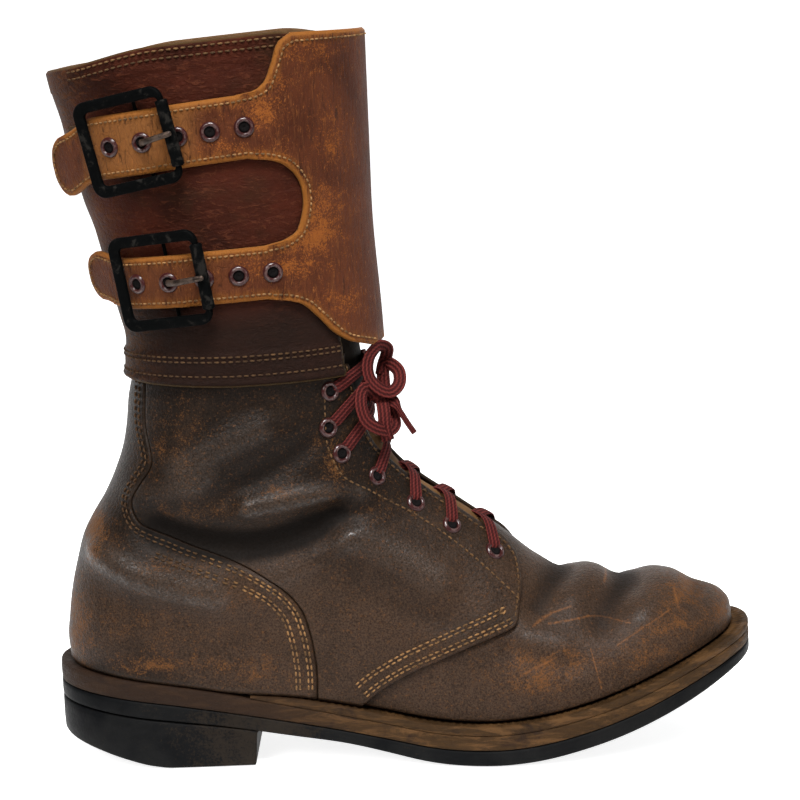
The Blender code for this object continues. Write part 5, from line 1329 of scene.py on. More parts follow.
class BOOT_OT_cuff(bpy.types.Operator):
    """Cuff round the leg with its stitched low band and rim"""

    bl_idname = "boot.cuff"
    bl_label = "Cuff"

    def execute(self, context):
        v, fall, girths = cuff_grid(*CUFF_GRID)
        halves = [leg_wrap(v, fall, s, side) for s, side in zip(girths, (-1, 1))]
        points = np.concatenate([halves[0][0], halves[1][0][:, -2::-1]], axis=1)
        normals = np.concatenate([halves[0][1], halves[1][1][:, -2::-1]], axis=1)
        back_column = CUFF_GRID[1] - 1
        points[:, back_column, 1] = 0.0
        normals[:, back_column, 1] = 0.0
        level = np.broadcast_to(v[:, None], points.shape[:2])
        girth = np.concatenate([girths[0], girths[1][:, -2::-1]], axis=1)
        points[..., 2] += rim_lift(level, girth)
        back = ramp(girth / girth.max(axis=1, keepdims=True), 0.70, 0.95)
        band = 1.0 - ramp(level, BAND_TOP - 1.2, BAND_TOP - 0.2)
        relief = 0.55 * band + 0.7 * np.exp(-((level - CUFF_LOW - 2.2) / 1.3) ** 2)
        relief = relief + 0.3 * ramp(level, RIM_Z - 10.5, RIM_Z - 10.0)
        x, z = points[..., 0], points[..., 2]
        relief = relief - 0.35 * (1.0 + np.sin(z / 3.6 + 0.8 * np.sin(x / 11.0))) * (1 - band) * 0.5
        relief = relief * ramp(level, CUFF_LOW, CUFF_LOW + 1.0)
        hem = HEM_DEPTH * ramp(level, CUFF_LOW + 1.0, CUFF_LOW + 3.0)
        hem = hem * (1.0 - ramp(level, COLLAR_Z - 3.0, COLLAR_Z - 0.5))
        add_hide("cuff_hide", points, unit(normals), grid_quads(*points.shape[:2]), CUFF_OFF, CUFF_OFF + CUFF_THICK,
                 CUFF_ROUND, "cuff_leather", ("cuff",), relief=relief, hem=hem, band=band, back=back)
        return {"FINISHED"}


FLAP_BY_HEIGHT = sorted(FLAP_EDGE)
FLAP_ROWS = 110
FLAP_ROUND = 1.1
FLAP_ACROSS = np.linspace(0.0, 1.0, 46)[None, :]
STRAP_ALONG = np.linspace(1.0, 0.0, 90)[None, :]
STRAP_LOOK = 2.0
TIP_POWER = 2.4


def strap_off(s, roller):
    """Lift of a strap over the leg: a soft step onto the chape past the roller."""
    return FLAP_OFF + STRAP_LIFT * ramp(s, roller, roller + STRAP_RISE)


def strap_points(v, s, strap):
    """Inner face of a strap at heights v and girths s; past the left bar it runs straight on with a slow bend."""
    roller, bar = strap.roller, strap.bar
    held = np.minimum(s, bar)
    fall = smooth(FLAP_BY_HEIGHT, 2, v)
    grid, normal = leg_wrap(v, fall, held, -1)
    grid = grid + strap_off(held, roller)[..., None] * normal
    before, before_normal = leg_wrap(v, fall, held - STRAP_LOOK, -1)
    before = before + strap_off(held, roller)[..., None] * before_normal
    past = (s - held)[..., None]
    grid = grid + past * unit(grid - before) - STRAP_BEND * past ** 2 * normal
    grid[..., 2] -= strap.drop * ramp(s, bar - 3.0, bar + 15.0)
    return grid, normal


def strap_tip(strap, level):
    """Girth of a strap's round tip at a share of its height from -1 to 1, a superellipse's half."""
    bow = np.sqrt(np.clip(1.0 - np.abs(level) ** TIP_POWER, 0.0, 1.0))
    return strap.bar + STRAP_REACH - STRAP_TIP_ROUND * (1.0 - bow)


def flap_lean(level, girth):
    """Stand of the flap's low front off the leg, gone at mid height and at its sides."""
    return FLAP_LEAN * (1.0 - ramp(level, *LEAN_ROWS)) * (1.0 - ramp(girth, *LEAN_SPAN))


class BOOT_OT_flap(bpy.types.Operator):
    """Front flap of the cuff with its two straps, one hide with raw edges"""

    bl_idname = "boot.flap"
    bl_label = "Flap and straps"

    def execute(self, context):
        v = set(np.linspace(RIM_Z, FLAP_EDGE[-1][0], FLAP_ROWS).round(3))
        v.update(r[0] for r in FLAP_EDGE)
        v = np.array(sorted(v, reverse=True))
        edge = smooth(FLAP_BY_HEIGHT, 1, v)[:, None] * FLAP_ACROSS
        inner = FLAP_INNER_END * FLAP_ACROSS + 0.0 * v[:, None]
        drop = RIM_FALL * (v - v[-1]) / (v[0] - v[-1])
        halves = leg_wrap(v, smooth(FLAP_BY_HEIGHT, 2, v), edge, -1), leg_wrap(v, drop, inner, 1)
        points, normals = [both(*pair) for pair in zip(*halves)]
        points = points + FLAP_OFF * normals
        points[..., 0] += flap_lean(v[:, None], both(edge, inner))
        sheets = [self.sheet(points, normals, np.zeros(points.shape[:2]))]
        for strap in STRAPS:
            heights = v[(v <= strap.top) & (v >= strap.low)]
            root = smooth(FLAP_BY_HEIGHT, 1, heights)
            tip = strap_tip(strap, (heights - strap.low) / (strap.top - strap.low) * 2.0 - 1.0)
            s = root[:, None] + (tip - root)[:, None] * STRAP_ALONG
            light = strap.light * ramp(s, strap.roller - 14.0, strap.roller)
            sheets.append(self.sheet(*strap_points(heights, s, strap),
                                     light * (1.0 - ramp(s, strap.bar - 2.0, strap.bar + 6.0))))
        points, quads, normals, light = joined(sheets)
        rub = rubbed(points[:, 0], points[:, 2], FLAP_RUBS) * (points[:, 1] < 0)
        add_hide("flap_hide", points, normals, quads, 0.0, FLAP_THICK, FLAP_ROUND, "flap_leather", ("cuff_flap",),
                 rub=rub, light=light)
        return {"FINISHED"}

    def sheet(self, points, normals, light):
        """Grid made into a list of points with its quads, normals and lightness."""
        return points.reshape(-1, 3), grid_quads(*points.shape[:2]), normals.reshape(-1, 3), light.ravel()


OUTLINE_INSET = 0.5


def outline(angle, inset):
    """Sole outline moved in by an inset along its own normal in the plan."""
    x, y = edge_loop(angle, OUTLINE_INSET, OUTLINE_INSET)
    dx, dy = np.gradient(x), np.gradient(y)
    length = np.maximum(np.hypot(dx, dy), NO_LENGTH)
    return x - inset * dy / length, y + inset * dx / length


def sole_layer(angle, profile, low, high):
    """Side wall of a sole layer: a profile of inset and share of the height carried round the outline."""
    rings = []
    for inset, share, rise in profile:
        x, y = outline(angle, inset)
        x = np.clip(x, 0.0, SOLE_LENGTH)
        z = low(x) * (1 - share) + high(x) * share + rise
        rings.append(np.stack([x, y, z], axis=-1))
    return np.stack(rings)


LAYER_POINTS = 420


def closed_layer(name, profile, low, high, finish, node, **values):
    """Full-length sole layer: wall round the outline, with top and bottom drawn across between paired points."""
    rows, count = len(profile), LAYER_POINTS
    angle = np.linspace(0.0, 2 * math.pi, count, endpoint=False) + math.pi / count
    rings = sole_layer(angle, profile, low, high)
    wall = grid_quads(rows, count, loop=True)[:, BACKWARD]
    rung = rungs(count)
    faces = np.concatenate([wall, rung, rung[:, ::-1] + (rows - 1) * count])
    verts = rings.reshape(-1, 3)
    add_piece(name, verts, orient(verts, faces), finish, (node,), **{key: f(verts) for key, f in values.items()})


def orient(verts, faces):
    """Faces turned over if the body's volume, the sum of its corner tetrahedra, is negative."""
    middle = verts.mean(axis=0)
    p = verts[faces] - middle
    volume = (np.cross(p[:, 0], p[:, 1]) * p[:, 2]).sum() + (np.cross(p[:, 0], p[:, 2]) * p[:, 3]).sum()
    return faces[:, ::-1] if volume < 0 else faces


def heelward(verts):
    """Darkness of the sole leather: full at the heel, fading to none at the ball."""
    return (1.0 - ramp(verts[:, 0], 70.0, 150.0)) * 0.85


def earth(verts):
    """Earth on the rubber: at the heel's front and low edges."""
    return ramp(verts[:, 0], 30.0, 84.0) * (1.0 - ramp(verts[:, 0], 90.0, 130.0))


# Walls of the sole layers, from below to above: inset from the outline, share of the layer's height, rise
OUTSOLE_WALL = ((3.0, 0.0, 0.0), (1.4, 0.0, 0.05), (0.5, 0.0, 0.35), (0.1, 0.0, 0.9), (0.0, 0.3, 0.0), (0.0, 0.7, 0.0),
                (0.1, 1.0, -0.7), (0.5, 1.0, -0.4), (3.0, 1.0, -0.3))
MIDSOLE_WALL = ((4.0, 0.0, 0.0), (0.5, 0.0, 0.02), (0.15, 0.0, 0.25), (0.05, 0.25, 0.0), (0.0, 0.55, 0.0),
                (0.15, 0.8, 0.0), (0.3, 1.0, -0.35), (0.6, 1.0, -0.15), (4.0, 1.0, -0.1))
HEEL_WALL = ((4.0, 0.0, 0.0), (1.5, 0.0, 0.1), (0.6, 0.0, 0.5), (0.2, 0.0, 1.2), (0.0, 0.35, 0.0), (0.0, 0.75, 0.0),
             (0.1, 1.0, -0.6), (0.5, 1.0, -0.2), (4.0, 1.0, 0.0))
WELT_WALL = ((11.0, 0.0, 0.0), (0.7, 0.0, 0.0), (0.35, 0.0, 0.25), (0.1, 0.4, 0.0), (0.15, 0.75, 0.0),
             (0.45, 1.0, -0.25), (1.1, 1.0, -0.02), (2.4, 1.0, 0.0), (3.4, 1.0, 0.0), (4.4, 1.0, -0.1),
             (5.4, 1.0, -0.35), (11.0, 1.0, -0.3))

# Notches of the welt: row of its wall, depth there
WELT_NOTCHES = ((7, 0.1), (8, 0.5), (9, 0.8), (10, 0.6))
NOTCH_PITCH = 3.2
NOTCH_INSET = 3.0
WELT_END = 6.0
WELT_POINTS = 900
WELT_SHADE = 0.6
HEEL_POINTS = 161
HEEL_GAP = 0.3
RAKE_POWER = 8

outsole_low = partial(stack, LOW_COLUMN)
outsole_top = partial(stack, HIGH_COLUMN)
heel_under = partial(smooth, HEEL_UNDER, 1)


def heel_top(x):
    """Top of the heel: the outsole's underside less a small gap."""
    return outsole_low(x) - HEEL_GAP


def angle_at(x):
    """Angle of the sole outline at x, from its cosine law."""
    return math.acos(1.0 - 2.0 * x / SOLE_LENGTH)


class BOOT_OT_sole(bpy.types.Operator):
    """Outsole, midsole, welt and heel with rounded and worn edges"""

    bl_idname = "boot.sole"
    bl_label = "Sole and heel"

    def execute(self, context):
        closed_layer("outsole_rubber", OUTSOLE_WALL, outsole_low, outsole_top, "black_rubber", "outsole", earth=earth)
        closed_layer("midsole_leather", MIDSOLE_WALL, outsole_top, midsole_top, "edge_leather", "midsole",
                     heelward=heelward)
        self.make_heel()
        self.make_welt()
        return {"FINISHED"}

    def make_heel(self):
        """Heel block: wall round the back, raked breast at its front, rounded and worn below."""
        last = angle_at(HEEL_BREAST)
        rings = sole_layer(np.linspace(-last, last, HEEL_POINTS), HEEL_WALL, heel_under, heel_top)
        rows, count = rings.shape[:2]
        rake = BREAST_RAKE * (rings[..., 0] / HEEL_BREAST) ** RAKE_POWER
        rings[..., 0] += rake * np.linspace(0.0, 1.0, rows)[:, None]
        half = count // 2
        k = np.arange(half)
        rung = np.stack([half - k, half - k - 1, half + k + 1, half + k], axis=1)
        j = np.arange(rows - 1)
        breast = np.stack([j * count, (j + 1) * count, (j + 2) * count - 1, (j + 1) * count - 1], axis=1)
        verts = rings.reshape(-1, 3)
        faces = np.concatenate([grid_quads(rows, count)[:, ::-1], rung, rung[:, ::-1] + (rows - 1) * count, breast])
        add_piece("heel_rubber", verts, orient(verts, faces), "black_rubber", ("heel",), earth=earth(verts))

    def make_welt(self):
        """Welt strip round the forepart: rounded outer edge, milled notches on its top along the upper."""
        first = angle_at(WELT_START + WELT_END)
        angle = np.linspace(first, 2 * math.pi - first, WELT_POINTS)
        rings = sole_layer(angle, WELT_WALL, midsole_top, seat)
        run = run_along(np.stack(outline(angle, NOTCH_INSET), axis=1))
        notch = 0.5 + 0.5 * np.sin(run * 2 * math.pi / NOTCH_PITCH)
        for row, depth in WELT_NOTCHES:
            rings[row, :, 2] -= depth * notch
        rows, count = rings.shape[:2]
        end = rungs(rows) * count
        verts = rings.reshape(-1, 3)
        faces = np.concatenate([grid_quads(rows, count, tube=True)[:, BACKWARD], end[:, ::-1], end + count - 1])
        add_piece("welt_leather", verts, orient(verts, faces), "edge_leather", ("welt",),
                  heelward=heelward(verts) * WELT_SHADE)


EYELET_PROFILE = ((EYELET_HOLE, -0.9), (EYELET_HOLE - 0.05, 0.3), (EYELET_HOLE + 0.15, 0.75), (EYELET_HOLE + 0.6, 1.0),
                  (EYELET_OUTER - 0.9, 0.95), (EYELET_OUTER - 0.3, 0.6), (EYELET_OUTER, 0.1), (EYELET_OUTER, -0.3),
                  (EYELET_OUTER - 0.6, -0.6), (EYELET_HOLE + 0.3, -0.9))
# Share of painted shade at each profile point: the walls of the hole go black
EYELET_BORE_SHADE = (1.0, 0.5, 0.0, 0.0, 0.0, 0.0, 0.0, 0.0, 0.0, 1.0)
# Dark disc in each bore: painted shade where the hole is in shadow
EYELET_SHADE_DISC = ((EYELET_HOLE + 0.2, 0.12), (EYELET_HOLE + 0.2, -0.1), (0.05, -0.1), (0.05, 0.12))
EYELET_STEPS = 28


def eyelets(places, normals):
    """Rolled eyelets with a dark disc of painted shade in each bore; values say where the paint is off and where the
    bore's painted shade is.
    """
    verts, faces = turned(places, normals, EYELET_PROFILE, EYELET_STEPS)
    height = np.array([p[1] for p in EYELET_PROFILE])
    bare = np.tile(np.repeat(0.55 * ramp(height, 0.6, 1.0), EYELET_STEPS), len(places))
    bore = np.tile(np.repeat(EYELET_BORE_SHADE, EYELET_STEPS), len(places))
    shade_disc_verts, shade_disc_faces = turned(places, normals, EYELET_SHADE_DISC, EYELET_STEPS)
    zero = np.zeros(len(shade_disc_verts))
    return joined([(verts, faces, bare, bore), (shade_disc_verts, shade_disc_faces, zero, zero + 1.0)])


def strap_middle(strap, s):
    """Points and normals on a strap's middle line, on its inner face."""
    v = np.array([0.5 * (strap.top + strap.low)])
    points, normal = strap_points(v, np.atleast_2d(np.asarray(s, float)), strap)
    return points[0], normal[0]


class BOOT_OT_eyelets(bpy.types.Operator):
    """Eyelets of the facings and of the straps"""

    bl_idname = "boot.eyelets"
    bl_label = "Eyelets"

    def execute(self, context):
        x, z = np.array(LACE_EYELETS).T
        self.add("lace_eyelet", [(word,) + skin(x, z, side, LAYER_GAP + QUARTER_THICK)
                                 for word, side in (("lateral", -1), ("medial", 1))])
        spots = []
        for strap in STRAPS:
            points, normals = strap_middle(strap, strap.eyelet + EYELET_PITCH * np.arange(EYELETS_PER_STRAP))
            spots.append((strap.name, points + FLAP_THICK * normals, normals))
        self.add("strap_eyelet", spots)
        return {"FINISHED"}

    def add(self, name, spots):
        """Eyelets at each word's points, joined into one piece that stands for all their nodes."""
        verts, faces, bare, bore = joined([eyelets(points, normals) for _word, points, normals in spots])
        nodes = ["%s_%s_%d" % (name, word, i + 1) for word, points, _normals in spots for i in range(len(points))]
        add_piece(name + "s", verts, faces, "eyelet_paint", nodes, bare=bare, bore=bore)


STRAP_COVER = 0.6
UP_STEP = 8.0


def buckle_axes(strap):
    """Left bar and roller places and the buckle's axes: toward the roller, up, and out of the leg."""
    ends = []
    for s, lift in ((strap.bar - BUCKLE_SHIFT, BUCKLE_THICK * 0.5 + BAR_CLEAR),
                    (strap.roller, ROLLER_RADIUS + ROLLER_CLEAR)):
        points, normal = strap_middle(strap, [s])
        ends.append((points + (FLAP_THICK + STRAP_COVER + lift) * normal)[0])
    left, right = ends
    along = unit(right - left)
    mid = np.array([[0.5 * (strap.roller + strap.bar)]])
    v = np.array([0.5 * (strap.top + strap.low)])
    up = (strap_points(v + UP_STEP, mid, strap)[0] - strap_points(v - UP_STEP, mid, strap)[0])[0, 0]
    up = unit(up - (up @ along) * along)
    tilt = math.radians(strap.tilt)
    centre_place, half = 0.5 * (left + right) + BUCKLE_RISE * up, 0.5 * np.linalg.norm(right - left)
    along, up = along * math.cos(tilt) + up * math.sin(tilt), up * math.cos(tilt) - along * math.sin(tilt)
    return centre_place - half * along, centre_place + half * along, along, up, np.cross(along, up)


def round_box(half_x, half_y, corner, middle, count):
    """Rounded rectangle by angle: each quarter an arc about its corner's middle, joined by the straights."""
    angle = np.linspace(0.0, 2 * math.pi, count, endpoint=False) + math.pi / count
    px = middle + np.sign(np.cos(angle)) * (half_x - corner) + corner * np.cos(angle)
    py = np.sign(np.sin(angle)) * (half_y - corner) + corner * np.sin(angle)
    return px, py


FRAME_POINTS = 160
FRAME_AROUND = 20
FRAME_POWER = 4
FRAME_DENT = 0.16
ROD_STEPS = 12
ROD_DROP = 0.3
ROLLER_STEPS = 28
ROLLER_BORE = 0.9
ROLLER_DENT = 0.12
ROLLER_BARE = 0.42
PRONG_STEPS = 26
PRONG_TIP = 2.6


class BOOT_OT_buckles(bpy.types.Operator):
    """Buckle frames, rollers and prongs"""

    bl_idname = "boot.buckles"
    bl_label = "Buckles"

    def execute(self, context):
        for strap in STRAPS:
            left, right, along, up, out = buckle_axes(strap)
            under, normal = [v[0] for v in strap_middle(strap, [strap.prong])]
            self.make_frame(strap.name, under - (CENTRE_BAR + ROD_DROP) * normal, left, right, along, up, out)
            self.make_roller(strap.name, right, up)
            self.make_prong(strap.name, under, normal, right, along, up, out)
        return {"FINISHED"}

    def make_frame(self, word, bar, left, right, along, up, out):
        """Frame as a rounded bar section between outer and window outlines, with a round centre bar."""
        reach = np.linalg.norm(right - left)
        outer = round_box(0.5 * (reach + BUCKLE_BAR * 0.5 + ROLLER_BAR * 0.5), BUCKLE_TALL * 0.5, BUCKLE_CORNER,
                          0.5 * reach - BUCKLE_BAR * 0.25 + ROLLER_BAR * 0.25, FRAME_POINTS)
        window = round_box(0.5 * (reach - BUCKLE_BAR * 0.5 - ROLLER_BAR * 0.5), BUCKLE_TALL * 0.5 - BUCKLE_BAR,
                           WINDOW_CORNER, 0.5 * reach + BUCKLE_BAR * 0.25 - ROLLER_BAR * 0.25, FRAME_POINTS)
        across, rise = superellipse(FRAME_AROUND, FRAME_POWER)
        share, height = 0.5 + 0.5 * across, 0.5 * BUCKLE_THICK * rise
        px, py = [hole[:, None] * (1 - share) + rim[:, None] * share for hole, rim in zip(window, outer)]
        dent = FRAME_DENT * np.sin(px / 3.1 + 1.3 * np.sin(py / 4.7)) * np.cos(py / 3.7)
        verts = left + px[..., None] * along + py[..., None] * up + (height + dent)[..., None] * out
        verts = verts.reshape(-1, 3)
        faces = orient(verts, grid_quads(FRAME_POINTS, FRAME_AROUND, tube=True, loop=True)[:, BACKWARD])
        bare = np.broadcast_to(np.clip(np.abs(height) / BUCKLE_THICK, 0.0, 0.5), px.shape) * 0.5
        half = 0.5 * (BUCKLE_TALL - BUCKLE_BAR)
        rod = ribbon(np.linspace(bar - up * half, bar + up * half, ROD_STEPS), np.tile(out, (ROD_STEPS, 1)),
                     2 * CENTRE_BAR, 2 * CENTRE_BAR, 10, 2.0)
        verts, faces, bare = joined([(verts, faces, bare.ravel()), (rod[0], rod[1], np.zeros(len(rod[0])))])
        add_piece("buckle_frame_%s_iron" % word, verts, faces, "black_iron", ("buckle_frame_" + word,), bare=bare)

    def make_roller(self, word, right, up):
        """Roller turned about the right bar, its wall uneven by a squared sine."""
        end = ROLLER_LONG * 0.5
        profile = [(ROLLER_BORE, end - 0.1), (ROLLER_RADIUS - 0.5, end), (ROLLER_RADIUS, end - 0.5)]
        profile += [(ROLLER_RADIUS - ROLLER_DENT * math.sin(k * 1.7) ** 2, end * (1 - k / 6.0)) for k in range(1, 12)]
        profile += [(ROLLER_RADIUS, 0.5 - end), (ROLLER_RADIUS - 0.5, -end), (ROLLER_BORE, 0.1 - end)]
        verts, faces = turned([right], [up], profile, ROLLER_STEPS)
        add_piece("buckle_roller_%s_iron" % word, verts, orient(verts, faces), "black_iron", ("buckle_roller_" + word,),
                  bare=np.full(len(verts), ROLLER_BARE))

    def make_prong(self, word, under, normal, right, along, up, out):
        """Prong as a tapering tube on a cubic arc, out of its eyelet, over a crown and onto the roller."""
        rest = right + out * (ROLLER_RADIUS + PRONG_RADIUS + 0.1)
        hole = under + FLAP_THICK * 0.4 * normal
        crown = under + PRONG_CROWN * normal
        tip = rest + along * PRONG_TIP
        a = np.linspace(0.0, 1.0, PRONG_STEPS)[:, None]
        path = (1 - a) ** 3 * hole + 3 * a * (1 - a) ** 2 * crown + 3 * a * a * (1 - a) * rest + a ** 3 * tip
        taper = 2 * PRONG_RADIUS * (1.08 - 0.25 * a[:, 0]) * np.sqrt(np.clip(1.0 - a[:, 0] ** 24, 0.05, 1.0))
        verts, faces, _u, _v = ribbon(path, np.tile(up, (PRONG_STEPS, 1)), taper * 0.9, taper * 1.15, 14, 2.2)
        add_piece("buckle_prong_%s_steel" % word, verts, orient(verts, faces), "worn_steel", ("buckle_prong_" + word,))


LACE_ON_TOP = 3.1
LACE_BELOW = -2.7
LACE_STEPS = 60
LACE_DIVE = 3.6
KNOT_STEPS = 40
KNOT_WIDE = 8.4
KNOT_THICK = 6.4
KNOT_FACING = (0.6, -0.8, 0.1)
BOW_STEPS = 150
BOW_FACING = (0.15, -1.0, 0.15)
BOW_TWIST = 0.35
BOW_ROUNDS = 2
CURVE_POINTS = 10

# Bow: cord, its nodes, direction it first faces, share by which its end narrows
BOW_CORDS = (("lace_bow_upper", ("lace_loop_upper", "lace_end_short"), (0.2, -1.0, 0.2), 0.0),
             ("lace_bow_lower", ("lace_loop_lower", "lace_end_long"), (0.5, -0.8, 0.2), 0.55))


def girth_at(x, z, side):
    """Section row and girth of side-view places."""
    reach, _length, _power, row = locate(x, z)
    points, run = section(row, side)
    along = np.hypot(points[..., 0] - points[:, :1, 0], points[..., 2] - points[:, :1, 2])
    return row, np.array([np.interp(reach[i], along[i], run[i]) for i in range(len(row))])


def lace_run(start, stop):
    """Lace out of one eyelet, over its facing and down under the far facing: row and girth straight between the two."""
    a = np.linspace(0.0, 1.0, LACE_STEPS)
    row = start[0] + (stop[0] - start[0]) * a
    s = start[1] + (stop[1] - start[1]) * a
    near = s / start[1]
    off = LACE_ON_TOP - (LACE_ON_TOP - LACE_BELOW) * ramp(-near, -0.55, 0.35) - LACE_DIVE * ramp(near, 0.9, 1.0)
    points, normals = np.empty((LACE_STEPS, 3)), np.empty((LACE_STEPS, 3))
    for side in (-1, 1):
        mine = (s < 0) if side < 0 else (s >= 0)
        p, n = foot_wrap(row[mine], np.abs(s[mine])[:, None], side)
        height = fold(p[:, 0, 0], p[:, 0, 2], side)
        points[mine] = p[:, 0] + (off[mine] + height)[:, None] * n[:, 0]
        normals[mine] = n[:, 0]
    return points, normals, 1.0 - 0.22 * ramp(near, 0.88, 1.0)


def soft_normals(path, first):
    """Directions square to a path that turn as little as they can, carried on from the first one."""
    tangent = unit(np.gradient(path, axis=0))
    normals = [np.asarray(first, float)]
    for t in tangent:
        n = normals[-1] - (normals[-1] @ t) * t
        normals.append(n / np.linalg.norm(n))
    return np.array(normals[1:])


class BOOT_OT_laces(bpy.types.Operator):
    """Flat laces: crossings through the eyelets, and the bow with its knot, loops and ends"""

    bl_idname = "boot.laces"
    bl_label = "Laces"

    def execute(self, context):
        sizes = context.scene.boot_sizes
        width, thick = sizes.lace_width / MM, sizes.lace_thick / MM
        x, z = np.array(LACE_EYELETS).T
        lateral = [(row, -girth) for row, girth in zip(*girth_at(x, z, -1))]
        medial = list(zip(*girth_at(x, z, 1)))
        runs = []
        for i in range(len(LACE_EYELETS)):
            runs.append(lace_run(lateral[i], medial[max(i - 1, 0)]))
            runs.append(lace_run(medial[i], lateral[max(i - 1, 0)]))
        bands = joined([ribbon(p, n, width * w, thick * (2.0 - w)) for p, n, w in runs])
        self.add("lace_crossings_braid", ("lace_crossings",), bands)
        self.make_bow(width, thick)
        return {"FINISHED"}

    def add(self, name, nodes, band):
        """Band of lace made into a piece, with its places across and along for the braid."""
        verts, faces, across, along = band
        return add_piece(name, verts, faces, "lace_braid", nodes, across=across, along=along)

    def make_bow(self, width, thick):
        """Bow of two laces: each runs from the knot round its loop, back through the knot and out to its end."""
        upper = np.concatenate([through(LACE_LOOP_UPPER, CURVE_POINTS)[::-1], through(LACE_END_SHORT, CURVE_POINTS)])
        lower = np.concatenate([through(LACE_LOOP_LOWER, CURVE_POINTS), through(LACE_END_LONG, CURVE_POINTS)])
        bulge = 1.0 - 0.5 * np.abs(np.linspace(-1.0, 1.0, KNOT_STEPS)) ** 3
        knot = even(through(LACE_KNOT, 12), KNOT_STEPS)[0]
        self.add("lace_knot_braid", ("lace_knot",), ribbon(knot, np.tile(KNOT_FACING, (KNOT_STEPS, 1)),
                                                           KNOT_WIDE * bulge, KNOT_THICK * bulge, 20, 2.2))
        for path, (name, nodes, first, end_taper) in zip((upper, lower), BOW_CORDS):
            path = even(path, BOW_STEPS)[0]
            for _ in range(BOW_ROUNDS):
                path[1:-1] = 0.25 * path[:-2] + 0.5 * path[1:-1] + 0.25 * path[2:]
            facing = unit(soft_normals(path, first) * BOW_TWIST + np.array(BOW_FACING))
            taper = 1.0 - end_taper * ramp(np.linspace(0.0, 1.0, len(path)), 0.8, 0.86)
            cord = self.add(name, nodes, ribbon(path, facing, width * taper, thick * (2.0 - taper)))


def inset_line(x, z, inset):
    """Side-view line moved sideways by an inset, to the left of its run."""
    dx, dz = np.gradient(x), np.gradient(z)
    length = np.hypot(dx, dz)
    return x - inset * dz / length, z + inset * dx / length


SEAM_STEPS = 240
SEAM_INSETS = (2.0, 3.6, 7.2, 8.8)
INNER_PAIR = 5.0
FACING_INSET = 1.6
FLAP_STEPS = 900

# Soil of the counter's thread: first and last row of the seam, soil
SEAM_SOIL = ((0.3, 6.8, 0.1), (6.8, 7.6, 0.35), (7.6, 8.6, 0.6))
LAST_SOIL = 0.85

# Cuff seams: height, relief of the leather there, soil
CUFF_SEAMS = ((RIM_Z - 2.2, 0.25, 0.45), (RIM_Z - 5.4, 0.25, 0.7), (BAND_TOP - 2.2, 0.5, 0.75),
              (BAND_TOP - 4.2, 0.5, 0.8), (CUFF_LOW + 5.0, 0.5, 0.85))


